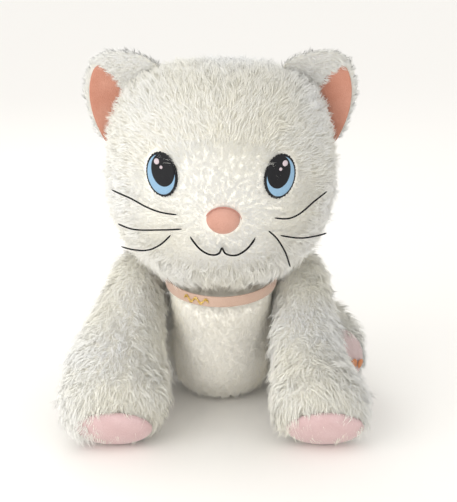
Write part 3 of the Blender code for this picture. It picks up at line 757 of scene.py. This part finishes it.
def face_plate(name, centre, half, lean, back, front, finish, node, segments=64,
               rings=10, bulge=0.0, side=1.0, shape=None):
    """A closed oval plate on the face, with a rounded edge and a soft crown."""
    deselect()
    turn = np.arange(segments) * 2.0 * pi / segments
    shares = np.sin(np.linspace(0.0, 1.0, rings + 1)[1:] * pi / 2.0)
    lean = radians(lean)
    points = []
    for level in (0, 1):
        ring_points = []
        for share in shares:
            a = half[0] * share * np.cos(turn)
            b = half[1] * share * np.sin(turn)
            if shape is not None:
                a, b = shape(a, b)
            x = centre[0] + a * cos(lean) + b * sin(lean)
            z = centre[1] - a * sin(lean) + b * cos(lean)
            round_off = (1.0 - share ** 6) ** 0.5 if share < 1.0 else 0.0
            lift = back
            if level:
                lift = back + (front - back) * (PLATE_EDGE + (1 - PLATE_EDGE) * round_off)
            lift = lift + (bulge * (1.0 - share ** 2) ** 0.75 if level else 0.0)
            ring_points.append(on_face(x * side, z, np.full(segments, lift)))
        middle = on_face(np.array([centre[0] * side]), np.array([centre[1]]),
                         np.array([back if level == 0 else front + bulge]))
        points.append((np.concatenate(ring_points), middle))
    stack = np.concatenate([points[0][0], points[0][1], points[1][0], points[1][1]])
    span = rings * segments
    corners = []
    sizes = []
    for base in (0, span + 1):
        for k in range(rings - 1):
            for i in range(segments):
                j = (i + 1) % segments
                a = base + k * segments
                corners += [a + i, a + j, a + segments + j, a + segments + i]
                sizes.append(4)
        for i in range(segments):
            corners += [base + span, base + i, base + (i + 1) % segments]
            sizes.append(3)
    rim = (rings - 1) * segments
    for i in range(segments):
        j = (i + 1) % segments
        corners += [rim + i, rim + j, span + 1 + rim + j, span + 1 + rim + i]
        sizes.append(4)
    made = from_arrays(name, stack, np.array(corners), np.array(sizes))
    return dress(made, "head", finish, node)


def tube(name, line, radius, finish, node, body="head", sides=8, taper=0.0):
    """A stitched thread along a line of points, with rounded ends."""
    line = np.asarray(line, float)
    count = len(line)
    tangent = unit(np.gradient(line, axis=0))
    one = unit(np.cross(tangent, np.array((0.13, 1.0, 0.07))[None, :]))
    two = np.cross(tangent, one)
    along = np.linspace(0.0, 1.0, count)
    size = radius * (1.0 - taper * along)
    ends = np.minimum(1.0, np.sqrt(np.clip(np.minimum(along, 1.0 - along) * 14.0, 0.04, 1.0)))
    size = size * ends
    turn = np.arange(sides) * 2.0 * pi / sides
    rings = (line[:, None, :] + (one[:, None, :] * np.cos(turn)[None, :, None]
             + two[:, None, :] * np.sin(turn)[None, :, None]) * size[:, None, None])
    points = np.concatenate([rings.reshape(-1, 3), line[:1], line[-1:]])
    made = from_arrays(name, points, *ring_faces(count, sides))
    return dress(made, body, finish, node)


def line_on_face(knots, count, lift):
    flat = spline(np.asarray(knots, float), np.linspace(0.0, 1.0, count))
    lift = np.broadcast_to(np.asarray(lift, float), (count,))
    return on_face(flat[:, 0], flat[:, 1], lift)


def make_face():
    def stitched(a, b):
        """The uneven ends of the stitches round an eye."""
        turn = np.arctan2(b, a)
        uneven = 1.0 + 0.016 * np.sin(turn * 47.0) + 0.012 * np.sin(turn * 31.0 + 1.0)
        return a * uneven, b * uneven

    for side, word in SIDES:
        nodes = f"eye_{word}_"
        eye = EYES[side]
        face_plate(nodes + "ring", eye, EYE_HALF, EYE_LEAN, -0.0012, 0.0012, black_thread,
                   nodes + "outline", side=side, segments=144, shape=stitched)
        iris = (EYE_HALF[0] * 0.865, EYE_HALF[1] * 0.885)
        face_plate(nodes + "blue", eye, iris, EYE_LEAN, 0.0004, 0.0018, blue_thread,
                   nodes + "iris", side=side, segments=72)
        pupil = (eye[0] - 0.0018, eye[1] + 0.0042)
        face_plate(nodes + "black", pupil, (0.0110, 0.0157), EYE_LEAN, 0.0008, 0.0024,
                   black_thread, nodes + "pupil", side=side)
        for spot, size, off in (("large", 0.0025, (0.0052, 0.0080)),
                                ("small", 0.0014, (0.0010, 0.0030))):
            face_plate(f"{nodes}spot_{spot}", (pupil[0] + off[0], pupil[1] + off[1]),
                       (size, size * 1.15), 0.0, 0.0016, 0.0031, shine_thread,
                       f"{nodes}shine_{spot}", side=side, segments=28, rings=5)

    def nose_shape(a, b):
        wide = 1.0 + 0.13 * np.clip(b / NOSE_HALF[1], -1.0, 1.0)
        return a * wide, b - 0.0008 * (a / NOSE_HALF[0]) ** 2

    face_plate("nose_pad", (NOSE_X, NOSE_Z), NOSE_HALF, 0.0, -0.0010, 0.0016, nose_velour,
               "nose", bulge=0.0056, shape=nose_shape, segments=80, rings=14)
    turn = np.radians(np.linspace(160.0, 5.0, 44))
    rim = line_on_face(np.stack([NOSE_X + 0.0170 * np.cos(turn),
                                 NOSE_Z + 0.0140 * np.sin(turn)], 1), 60, 0.0022)
    tube("nose_edge", rim, 0.00065, edge_thread, "nose_stitch", taper=0.3)
    smile = [(-0.0275, 0.2385), (-0.0255, 0.2345), (-0.0190, 0.2250), (-0.0115, 0.2192),
             (-0.0050, 0.2182), (-0.0008, 0.2205), (0.0018, 0.2262), (0.0045, 0.2205),
             (0.0100, 0.2176), (0.0170, 0.2182), (0.0250, 0.2245), (0.0305, 0.2325),
             (0.0325, 0.2370)]
    tube("mouth_line", line_on_face(smile, 110, 0.0040), 0.00095, cord_thread,
         "mouth_stitch")
    rise = 0.0033
    whiskers = {
        "right_upper": [(-0.0385, 0.2572), (-0.0520, 0.2585), (-0.0650, 0.2620),
                        (-0.0800, 0.2680), (-0.0975, 0.2715)],
        "right_middle": [(-0.0340, 0.2440), (-0.0575, 0.2412), (-0.0780, 0.2385),
                         (-0.0930, 0.2400)],
        "right_lower": [(-0.0450, 0.2365), (-0.0555, 0.2250), (-0.0690, 0.2170),
                        (-0.0930, 0.2120)],
        "left_upper": [(0.0520, 0.2533), (0.0640, 0.2517), (0.0740, 0.2552), (0.0866, 0.2640),
                       (0.0985, 0.2705)],
        "left_middle": [(0.0580, 0.2350), (0.0755, 0.2297), (0.0880, 0.2285), (0.1010, 0.2270)],
        "left_lower": [(0.0440, 0.2412), (0.0517, 0.2325), (0.0594, 0.2165), (0.0650, 0.1960)],
    }
    for where, knots in whiskers.items():
        aside = -0.0030 if where.startswith("left_m") or where.startswith("left_u") else 0.0
        knots = [(x + aside, z + rise) for x, z in knots]
        lift = 0.0052 + 0.0045 * np.sin(np.linspace(0.15, 1.0, 40) * pi / 2.0)
        tube("whisker_thread_" + where, line_on_face(knots, 40, lift), 0.00085, cord_thread,
             "whisker_" + where)


# ---------------------------------------------------------------- ears
EAR_BASE = np.array((0.0925, -0.014 - BACK, 0.3510))
EAR_TILT = radians(47.0)
EAR_CUP = 0.0125
EAR_MIDDLE = np.array((-0.001, 0.020))
# An ear's outline in its own across (towards the crown) and up, from its outer root round.
EAR_LINE = [(-0.048, -0.010), (-0.042, 0.010), (-0.033, 0.027), (-0.021, 0.041),
            (-0.005, 0.0505), (0.010, 0.0525), (0.024, 0.045), (0.036, 0.031),
            (0.045, 0.014), (0.046, 0.000), (0.028, -0.008), (0.0, -0.010), (-0.028, -0.014)]
LINING_MIDDLE = np.array((-0.015, 0.018))
LINING_LINE = [(-0.0475, -0.0130), (-0.0400, 0.0070), (-0.0310, 0.0230), (-0.0180, 0.0370),
               (-0.0030, 0.0455), (0.0060, 0.0440), (0.0080, 0.0300), (0.0060, 0.0150),
               (-0.0020, 0.0020), (-0.0180, -0.0080), (-0.0340, -0.0140)]


def ear_place(across, up, depth, side):
    """From an ear's own across, up and depth to the row frame."""
    x = EAR_BASE[0] + up * sin(EAR_TILT) - across * cos(EAR_TILT)
    z = EAR_BASE[2] + up * cos(EAR_TILT) + across * sin(EAR_TILT)
    return np.stack([x * side, EAR_BASE[1] + depth, z], axis=1)


def ear_own(p, side):
    """From the row frame back to an ear's own across and up."""
    dx = p[:, 0] * side - EAR_BASE[0]
    dz = p[:, 2] - EAR_BASE[2]
    return (-dx * cos(EAR_TILT) + dz * sin(EAR_TILT), dx * sin(EAR_TILT) + dz * cos(EAR_TILT))


def ear_bowl(across, up):
    """How far an ear is hollowed back, most near its root."""
    hollow = EAR_CUP * (1.0 - np.clip(across / 0.046, -1.0, 1.0) ** 2)
    return hollow * (1.0 - 6.0 * np.clip(up, 0.0, 0.1))


def outline_reach(line, middle, turn):
    """How far an outline lies from its middle in each direction."""
    smooth = spline(np.array(line + line[:1]), np.linspace(0.0, 1.0, 160))[:-1] - middle
    angles = np.arctan2(smooth[:, 1], smooth[:, 0])
    order = np.argsort(angles)
    return np.interp(turn, angles[order], np.hypot(smooth[order, 0], smooth[order, 1]),
                     period=2.0 * pi)


def leaf_points(sphere, side, line, middle, thick, front, share=1.0):
    """A cupped leaf with a rounded edge from a unit ball."""
    turn = np.arctan2(sphere[:, 1], sphere[:, 0])
    ring = np.clip(np.hypot(sphere[:, 0], sphere[:, 1]), 0.0, 1.0)
    reach = outline_reach(line, middle, turn) * share * ring ** 0.75
    across = middle[0] + reach * np.cos(turn)
    up = middle[1] + reach * np.sin(turn)
    depth = np.sign(sphere[:, 2]) * thick * np.sqrt(np.clip(1.0 - ring ** 3, 0.0, 1.0))
    return ear_place(across, up, ear_bowl(across, up) + front + depth, side)


def make_ears():
    for side, word in SIDES:
        body = "ear_" + word
        name = f"ear_{word}_cloth"
        skin = ball(name, 64, 48)
        move_points(skin, leaf_points(points_of(skin), side, EAR_LINE, EAR_MIDDLE, 0.0040,
                                      0.0055))
        skin = stuffed(name, body, fur_backing, [f"ear_{word}_skin"], 0.0006,
                       voxel=0.0026)
        lining_name = f"ear_{word}_velour"
        lining = ball(lining_name, 72, 48)
        move_points(lining, leaf_points(points_of(lining), side, LINING_LINE, LINING_MIDDLE,
                                        0.0016, 0.0006))
        dress(lining, body, lining_velour, f"ear_{word}_lining")

        def lined(p):
            across, up = ear_own(p, side)
            a = across - LINING_MIDDLE[0]
            b = up - LINING_MIDDLE[1]
            reach = outline_reach(LINING_LINE, LINING_MIDDLE, np.arctan2(b, a))
            return np.hypot(a, b) / reach

        def comb(p, n):
            across, up = ear_own(p, side)
            one = np.ones(len(p))
            outwards = np.stack([side * sin(EAR_TILT) * one, 0.0 * one, cos(EAR_TILT) * one], 1)
            crown = np.stack([-side * cos(EAR_TILT) * one, 0.0 * one, sin(EAR_TILT) * one], 1)
            front = ease((-n[:, 1] - 0.1) / 0.5)[:, None]
            inner = ease((across + 0.004) / 0.02)[:, None]
            over = outwards * 0.8 - crown * 0.9
            return outwards * (1.0 - front * inner) + over * front * inner

        def keep(p, n):
            return np.where((lined(p) < 0.96) & (n[:, 1] < -0.2), 0.0, 1.0)

        def length(p, n):
            across, up = ear_own(p, side)
            front = ease((-n[:, 1] - 0.1) / 0.5)
            inner = ease((across + 0.004) / 0.02)
            low = ease((0.012 - up) / 0.02)
            return 0.0070 + 0.0025 * front * inner + 0.004 * low

        def warm(p):
            return patches(p, 60.0, 9) * 0.3

        pile(f"ear_{word}_pile", skin, body, fur_pile, 4000, 31 + (side > 0),
             length, comb, stand=0.45, width=0.00030, keep=keep, clump=9, gather=0.3, tone=warm)
        pile(f"ear_{word}_down", skin, body, fur_pile, 12000, 35 + (side > 0),
             lambda p, n: length(p, n) * 0.7, comb, stand=0.5, width=0.00030, keep=keep,
             clump=6, gather=0.2, tone=warm, straight=True)


# ---------------------------------------------------------------- torso
TORSO_PATH = [(0.0, 0.130, 0.034), (0.0, 0.120, 0.042), (0.0, 0.101, 0.0555), (0.0, 0.078, 0.0765),
              (0.0, 0.056, 0.101), (0.0, 0.037, 0.121), (0.0, 0.018, 0.140), (0.0, 0.007, 0.156)]
TORSO_REACH = [(0.046, 0.046, 0.046), (0.057, 0.058, 0.058), (0.067, 0.074, 0.074),
               (0.069, 0.077, 0.077), (0.061, 0.071, 0.071), (0.0585, 0.062, 0.062),
               (0.0565, 0.054, 0.054), (0.0545, 0.0520, 0.0520)]


def shifted(path):
    return [(x, y - BACK, z) for x, y, z in path]


def make_torso():
    skin = ball("torso_skin_cloth", 72, 48)
    move_points(skin, swept_points(points_of(skin), shifted(TORSO_PATH), TORSO_REACH, 0.0065,
                                   0.020, 0.010, floor=0.0015))
    skin = stuffed("torso_skin_cloth", "torso", fur_backing,
                   ["torso_skin", "torso_stuffing", "pellet_bag"], 0.003)

    def belly(p, n):
        half = 0.053 - 0.010 * ease((0.07 - p[:, 2]) / 0.06)
        return (np.abs(p[:, 0]) < half) & (n[:, 1] < -0.05) & (p[:, 2] < 0.168)

    def comb(p, n):
        return np.array((0.0, 0.55, -1.0)) + n * 0.0 + np.stack(
            [p[:, 0] * 6.0, np.zeros(len(p)), np.zeros(len(p))], axis=1)

    def tone(p):
        return patches(p, 34.0, 7)

    def long(p, n):
        return 0.0145 + 0.006 * ease((p[:, 2] - 0.115) / 0.03)

    pile("torso_pile", skin, "torso", fur_pile, 7500, 51, long, comb,
         stand=0.5, width=0.00042, keep=lambda p, n: np.where(belly(p, n), 0.0, 1.0), clump=14,
         gather=0.45, tone=tone, soft=0.6)
    pile("torso_down", skin, "torso", fur_pile, 14000, 53,
         lambda p, n: np.full(len(p), 0.0095), comb, stand=0.6, width=0.00046,
         keep=lambda p, n: np.where(belly(p, n), 0.0, 1.0), clump=6, gather=0.2, tone=tone,
         straight=True, soft=0.65)

    # The smoother panel on the chest and belly, between its two side seams.
    panel = ball("belly_panel_cloth", 64, 48)
    shape = swept_points(points_of(panel), shifted(TORSO_PATH), TORSO_REACH, 0.0012, 0.020,
                         0.010, floor=0.0014)
    middle = np.array((0.0, 0.075 - BACK, 0.080))
    inner = middle + (shape - middle) * np.array((0.66, 0.80, 0.90))
    front = ease((-(shape[:, 1] - (0.072 - BACK) - (0.085 - shape[:, 2]) * 0.55)) / 0.022)
    side_seam = 1.0 - ease((np.abs(shape[:, 0]) - 0.052) / 0.012)
    share = (front * side_seam)[:, None]
    shape = shape * share + inner * (1.0 - share)
    move_points(panel, shape)
    panel = stuffed("belly_panel_cloth", "torso", fur_backing, ["belly_panel"],
                    0.0015, voxel=0.0042)

    def shown(p, n):
        half = 0.060 - 0.010 * ease((0.07 - p[:, 2]) / 0.06)
        return np.where((np.abs(p[:, 0]) < half) & (n[:, 1] < 0.15) & (p[:, 2] < 0.170), 1.0, 0.0)

    def short(p, n):
        return 0.0060 + 0.003 * ease((0.045 - p[:, 2]) / 0.04) + 0.005 * ease(
            (p[:, 2] - 0.148) / 0.01)

    # The tone warms towards the belly's sides as painted shade in the creases against the
    # forelegs, on top of slow random patches.
    pile("belly_pile", panel, "torso", belly_pile, 30000, 52, short,
         lambda p, n: np.array((0.0, 0.3, -1.0)) + n * 0.0, stand=0.40, width=0.00026,
         keep=shown, clump=10, gather=0.5, wild=0.42, straight=True, soft=0.35,
         tone=lambda p: np.clip(patches(p, 30.0, 8) * 0.5
                                + ease((np.abs(p[:, 0]) - 0.028) / 0.02) * 0.6, 0.0, 1.0))
    back = np.array([(0.0, 0.158, 0.062), (0.0, 0.157, 0.085), (0.0, 0.146, 0.112),
                     (0.0, 0.126, 0.134), (0.0, 0.101, 0.148)])
    back[:, 1] -= BACK
    line = spline(back, np.linspace(0.0, 1.0, 60))
    tube("back_seam", line, 0.0009, velour_finish("seam_thread", (0.86, 0.84, 0.79),
         (0.75, 0.72, 0.66)), "closing_seam", body="torso")


# ---------------------------------------------------------------- legs and tail
SHOULDER = np.array((0.0622, 0.030 - BACK, 0.1420))
HIP = np.array((0.0710, 0.109 - BACK, 0.0545))
FORE_PATHS = {
    1.0: [(0.022, 0.020, 0.020), (0.023, 0.011, 0.011), (0.024, -0.008, -0.010),
          (0.026, -0.033, -0.038), (0.030, -0.059, -0.066), (0.037, -0.083, -0.090),
          (0.041, -0.100, -0.104), (0.041, -0.110, -0.109)],
    -1.0: [(0.024, 0.020, 0.020), (0.026, 0.011, 0.011), (0.030, -0.008, -0.010),
           (0.038, -0.033, -0.038), (0.046, -0.059, -0.066), (0.048, -0.083, -0.090),
           (0.046, -0.100, -0.104), (0.044, -0.110, -0.109)]}
FORE_REACHES = {
    1.0: [(0.024, 0.026, 0.026), (0.030, 0.036, 0.036), (0.034, 0.041, 0.041),
          (0.036, 0.042, 0.042), (0.039, 0.045, 0.045), (0.048, 0.047, 0.048),
          (0.052, 0.043, 0.044), (0.044, 0.036, 0.037)],
    -1.0: [(0.024, 0.026, 0.026), (0.031, 0.036, 0.036), (0.036, 0.041, 0.041),
           (0.043, 0.042, 0.042), (0.052, 0.045, 0.045), (0.058, 0.047, 0.048),
           (0.055, 0.043, 0.044), (0.045, 0.036, 0.037)]}
FORE_WAY = np.array((0.0, -0.77, -0.64))
HIND_PATH = [(0.012, 0.036, 0.0), (0.015, 0.025, 0.0), (0.023, 0.005, -0.001),
             (0.035, -0.019, -0.003), (0.045, -0.041, -0.006), (0.052, -0.054, -0.006),
             (0.055, -0.062, -0.006)]
HIND_REACH = [(0.028, 0.030, 0.030), (0.038, 0.040, 0.040), (0.047, 0.048, 0.050),
              (0.049, 0.049, 0.052), (0.048, 0.047, 0.050), (0.043, 0.042, 0.046),
              (0.037, 0.036, 0.040)]
HIND_WAY = np.array((0.22, -0.97, -0.06))
# Each copper petal's name, its place across and up the sole, and its lean in degrees.
PETALS = (("inner", (0.0215, -0.0010), 24.0), ("outer", (0.0295, -0.0040), -14.0))
TAIL_ROOT = np.array((0.0, 0.1560 - BACK, 0.036))
TAIL_PATH = [(0.000, 0.006, 0.000), (0.002, 0.014, -0.003), (0.012, 0.032, -0.007),
             (0.034, 0.046, -0.010), (0.062, 0.048, -0.010), (0.086, 0.040, -0.010),
             (0.097, 0.033, -0.010)]
TAIL_REACH = [(0.0185,) * 3, (0.0215,) * 3, (0.0225,) * 3, (0.0235,) * 3, (0.0245,) * 3,
              (0.0225,) * 3, (0.0170,) * 3]


def turned_in(path, degrees_in):
    """Swing a limb's path inwards about its root, more and more along it."""
    moved = []
    last = len(path) - 1
    for k, (x, y, z) in enumerate(path):
        share = float(ease(np.array(k / last * 1.4)))
        angle = radians(-degrees_in) * share
        x0, y0 = path[0][0], path[0][1]
        dx, dy = x - x0, y - y0
        moved.append((x0 + dx * cos(angle) - dy * sin(angle),
                      y0 + dx * sin(angle) + dy * cos(angle), z))
    return moved


def sole(name, centre, way, reach, bulge, side, finish, node, body):
    """A domed pad that closes the end of a leg."""
    pad = ball(name, 56, 40)
    sphere = points_of(pad)
    way = unit(way)
    one = unit(np.array((1.0, 0.0, 0.0)) - way * way[0])
    two = np.cross(way, one)
    across = one[None, :] * sphere[:, :1] + two[None, :] * sphere[:, 1:2]
    size = 1.0 / np.sqrt(np.maximum(((unit(across) / np.asarray(reach)) ** 2).sum(1), 1e-6))
    length = np.linalg.norm(sphere[:, :2], axis=1)
    depth = np.where(sphere[:, 2] > 0.0, sphere[:, 2] * bulge, sphere[:, 2] * 0.008)
    points = centre + unit(across) * (size * length)[:, None] + way * depth[:, None]
    points[:, 2] = np.maximum(points[:, 2], 0.0004)
    points[:, 0] *= side
    move_points(pad, points)
    return stuffed(name, body, finish, [node], 0.0012, voxel=0.0032)


def inner_side(y, edge):
    """How near the middle a leg may come: beside the torso it stays out, ahead of it less so."""
    clear = ease((-0.055 - y) / 0.025)
    return edge + 0.004 - (edge + 0.004 - 0.044) * clear


def make_leg(kind, word, side, root, path, reach, way, edge, hairs, seed, sole_finish, pad):
    """A leg's cloth, its pile combed down towards the sole, and its sole."""
    body = f"{kind}_{word}"
    path = [tuple(root + np.array(p)) for p in path]
    name = f"{body}_cloth"
    skin = ball(name, 64, 56)
    points = swept_points(points_of(skin), path, reach, 0.0068, 0.010, 0.004, floor=0.0035)
    points[:, 0] = np.maximum(points[:, 0], inner_side(points[:, 1], edge))
    points[:, 0] *= side
    move_points(skin, points)
    skin = stuffed(name, body, fur_backing, [f"{body}_skin", f"{body}_stuffing"],
                   0.003)
    start = np.array(path[0])
    end = np.array(path[-1])
    for spot in (start, end):
        spot[0] *= side
    axis = unit(end - start)
    facing = unit(way * np.array((side, 1.0, 1.0)))
    middle = end + np.array((pad["aside"] * side, 0.0, -pad["drop"]))

    def comb(p, n):
        along = ((p - start) @ axis / np.linalg.norm(end - start))[:, None]
        over = ease((n @ facing - 0.3) / 0.4)[:, None]
        outward_way = unit(p - middle) * 0.2
        limb = axis * 1.0 + np.array((0.0, 0.0, -0.5)) * (1.0 - along * 0.4) + outward_way
        return limb * (1.0 - over) + np.array((0.0, -0.2, -1.0)) * over

    def keep(p, n):
        high = p[:, 2] > middle[2] + pad["cover"]
        bare = ((p - end) @ facing > -0.006) & (n @ facing > 0.35) & ~high
        hidden = (p[:, 0] * side < inner_side(p[:, 1], edge) + 0.0015) & (
            n[:, 0] * side < -0.7) & (p[:, 1] > -0.045) & (p[:, 2] < 0.125)
        return np.where(bare | hidden, 0.0, 1.0)

    def length(p, n):
        along = (p - start) @ axis / np.linalg.norm(end - start)
        under = ease((0.026 - p[:, 2]) / 0.024)
        crown = 0.006 * ease((n[:, 2] - 0.2) / 0.5) if kind == "hindleg" else 0.0
        return (0.0140 + 0.0030 * ease(along) + crown) * (1.0 - under * 0.5)

    def tone(p):
        return np.clip(patches(p, 36.0, seed) * 1.15, 0.0, 1.0)

    pile(f"{body}_pile", skin, body, fur_pile, hairs[0], seed, length, comb,
         stand=0.5, width=0.00034, keep=keep, clump=11, gather=0.4, wild=0.36, tone=tone,
         soft=0.68)
    pile(f"{body}_down", skin, body, fur_pile, hairs[1], seed + 20,
         lambda p, n: length(p, n) * 0.74, comb, stand=0.55, width=0.00038, keep=keep, clump=6,
         gather=0.2, wild=0.45, tone=tone, straight=True, soft=0.7)
    centre = np.array(path[-1]) + np.array((pad["aside"], 0.0, -pad["drop"])) - unit(way) * 0.001
    sole(f"{body}_pad", centre, way, pad["reach"], 0.0125, side, sole_finish,
         f"{body}_sole", body)
    return skin


def make_legs():
    for side, word in SIDES:
        make_leg("foreleg", word, side, SHOULDER, FORE_PATHS[side], FORE_REACHES[side],
                 FORE_WAY, SHOULDER[0], (10500, 19000), 61 + (side > 0), sole_plush,
                 {"aside": 0.004, "drop": 0.009, "cover": -0.004,
                  "reach": (0.041, 0.032, 0.032)})
        path, way, root = HIND_PATH, HIND_WAY, HIP
        if word == "right":
            path = turned_in(path, 8.0)
            angle = radians(-8.0)
            way = np.array((way[0] * cos(angle) - way[1] * sin(angle),
                            way[0] * sin(angle) + way[1] * cos(angle), way[2]))
            root = root + np.array((0.0, 0.012, 0.0))
        make_leg("hindleg", word, side, root, path, HIND_REACH, way, HIP[0], (5000, 10000),
                 71 + (side > 0), hind_sole_plush,
                 {"aside": 0.0, "drop": 0.0, "cover": 0.030,
                  "reach": tuple(0.985 * r for r in HIND_REACH[-1])})

    # Two embroidered petals on the left hind sole.
    end = HIP + np.array(HIND_PATH[-1])
    way = unit(HIND_WAY)
    one = unit(np.array((1.0, 0.0, 0.0)) - way * way[0])
    up = np.cross(way, one)
    up = up if up[2] > 0 else -up
    for word, off, lean in PETALS:
        petal = ball(f"petal_{word}", 28, 18)
        sphere = points_of(petal)
        turn = radians(lean)
        a = sphere[:, 0] * 0.0036 * (1.0 + 0.35 * sphere[:, 1])
        b = sphere[:, 1] * 0.0056
        flat_a = off[0] + a * cos(turn) - b * sin(turn)
        flat_b = off[1] + a * sin(turn) + b * cos(turn)
        out = np.sqrt(np.clip(1.0 - (flat_a / 0.036) ** 2 - (flat_b / 0.039) ** 2, 0.0, 1.0))
        lift = 0.0125 * out + 0.0022 + sphere[:, 2] * 0.0011
        points = end + one * flat_a[:, None] + up * flat_b[:, None] + way * lift[:, None]
        move_points(petal, points)
        dress(petal, "hindleg_left", copper_thread,
              f"hindleg_left_petal_{word}")


def make_tail():
    skin = ball("tail_cloth", 40, 64)
    path = [tuple(TAIL_ROOT + np.array(p)) for p in TAIL_PATH]
    move_points(skin, swept_points(points_of(skin), path, TAIL_REACH, 0.0070, 0.006, 0.010,
                                   floor=0.004, first=(0, 0, 1)))
    skin = stuffed("tail_cloth", "tail", fur_backing, ["tail_skin",
                   "tail_stuffing"], 0.002, voxel=0.004)
    knots = np.array(path)

    def comb(p, n):
        nearest = np.linalg.norm(p[:, None, :] - knots[None, :, :], axis=2).argmin(axis=1)
        nearest = np.clip(nearest, 1, len(knots) - 2)
        return unit(knots[nearest + 1] - knots[nearest - 1]) + np.array((0.0, 0.0, -0.3))

    pile("tail_pile", skin, "tail", fur_pile, 4200, 81,
         lambda p, n: np.full(len(p), 0.0140), comb, stand=0.5, width=0.00042, clump=13,
         gather=0.45, tone=lambda p: patches(p, 36.0, 3), soft=0.6)
    pile("tail_down", skin, "tail", fur_pile, 7500, 82,
         lambda p, n: np.full(len(p), 0.0090), comb, stand=0.6, width=0.00044, clump=6,
         gather=0.2, tone=lambda p: patches(p, 36.0, 3), straight=True, soft=0.65)


# ---------------------------------------------------------------- collar
COLLAR = np.array((0.0, 0.003 - BACK, 0.1625))
COLLAR_INNER = 0.0570
COLLAR_THICK = 0.0026
COLLAR_HALF = 0.0060
COLLAR_TILT = radians(10.0)


def collar_at(turn, radius, height):
    """Points on the collar; turn 0 is the front, positive to the cat's left."""
    x = radius * np.sin(turn)
    y = -radius * np.cos(turn)
    return COLLAR + np.stack([x, y * cos(COLLAR_TILT) - height * sin(COLLAR_TILT),
                              y * sin(COLLAR_TILT) + height * cos(COLLAR_TILT)], axis=-1)


def band(name, start, end, steps, inner, outer, half, finish, node, rise=0.0):
    """A strip of the collar with rounded edges; rise lifts its middle along it."""
    turn = np.radians(np.linspace(start, end, steps + 1))
    rise = np.broadcast_to(np.asarray(rise, float), (steps + 1,))
    section = 16
    around = np.arange(section) * 2.0 * pi / section
    a = np.sign(np.cos(around)) * np.abs(np.cos(around)) ** 0.55
    b = np.sign(np.sin(around)) * np.abs(np.sin(around)) ** 0.55
    middle, thick = (inner + outer) / 2.0, (outer - inner) / 2.0
    rings = np.stack([collar_at(t, middle + thick * a, h + half * b)
                      for t, h in zip(turn, rise)])
    points = np.concatenate([rings.reshape(-1, 3), rings[0].mean(0)[None],
                             rings[-1].mean(0)[None]])
    made = from_arrays(name, points, *ring_faces(steps + 1, section))
    return dress(made, "collar", finish, node)


def make_collar():
    outer = COLLAR_INNER + COLLAR_THICK
    band("collar_strap", -176.0, 176.0, 150, COLLAR_INNER, outer, COLLAR_HALF, collar_velour,
         "collar_band")
    band("collar_tab", 166.0, 194.0, 16, outer + 0.0003, outer + 0.0016, COLLAR_HALF * 0.85,
         collar_velour, "collar_fastener")
    steps = 60
    wave = 0.0026 * np.sin(np.arange(steps + 1) / steps * 2.5 * 2.0 * pi)
    band("collar_wave", -38.0, -12.0, steps, outer + 0.0002, outer + 0.0012, 0.0016,
         gold_glitter, "collar_motif", rise=wave)


# ---------------------------------------------------------------- hidden stuffing
def hide_inside():
    """The neck's plug of stuffing stays where it is, in a plain fibre finish."""
    fibre = backing_finish("fibrefill", (0.90, 0.90, 0.89), (0.80, 0.80, 0.79))
    plug = bpy.data.objects["neck_stuffing"]
    for slot in plug.material_slots:
        slot.material = fibre


# ---------------------------------------------------------------- stage, light, camera
# Each lamp's name, place, aim, side in metres and power in watts.
LAMPS = (("key", (-1.2, -1.2, 1.0), (0.0, -0.05, 0.15), 1.4, 12.0),
         ("front", (-0.3, -1.2, 0.10), (0.0, -0.05, 0.06), 0.6, 4.0),
         ("rim", (-0.5, 1.2, 1.3), (0.0, 0.0, 0.2), 0.9, 3.0))
CAMERA_PLACE = (0.008, -1.12 - BACK, 0.52)
CAMERA_DROP = 16.4         # degrees below level
CAMERA_FILM = 36.0         # millimetres
CAMERA_LENS = 87.2822757   # millimetres
FLOOR_WIDE = 60.0
FLOOR_DROP = 0.0004


def area_light(name, place, aim, size, power):
    data = bpy.data.lights.new(name, "AREA")
    data.shape = "SQUARE"
    data.size = size
    data.energy = power
    lamp = bpy.data.objects.new(name, data)
    bpy.context.scene.collection.objects.link(lamp)
    lamp.location = place
    lamp.rotation_euler = (Vector(aim) - Vector(place)).to_track_quat("-Z", "Y").to_euler()


def make_stage():
    deselect()
    bpy.ops.mesh.primitive_plane_add(size=FLOOR_WIDE, location=(0.0, 0.0, -FLOOR_DROP))
    floor = bpy.context.object
    floor.name = "floor"
    paper = Finish("paper", (0.945, 0.92, 0.875), 0.9)
    floor.data.materials.append(paper.material)
    world = bpy.data.worlds.new("studio")
    bpy.context.scene.world = world
    world.use_nodes = True
    world.node_tree.nodes["Background"].inputs["Color"].default_value = (1.0, 1.0, 1.0, 1.0)
    world.node_tree.nodes["Background"].inputs["Strength"].default_value = 1.0
    for lamp in LAMPS:
        area_light(*lamp)
    data = bpy.data.cameras.new("camera")
    data.sensor_fit = "HORIZONTAL"
    data.sensor_width = CAMERA_FILM
    data.lens = CAMERA_LENS
    camera = bpy.data.objects.new("camera", data)
    bpy.context.scene.collection.objects.link(camera)
    camera.location = CAMERA_PLACE
    camera.rotation_euler = (radians(90.0 - CAMERA_DROP), 0.0, 0.0)
    bpy.context.scene.camera = camera
    bpy.context.scene.view_settings.view_transform = "Standard"


make_stage()
make_head()
make_face()
make_ears()
make_torso()
make_legs()
make_tail()
make_collar()
hide_inside()
deselect()
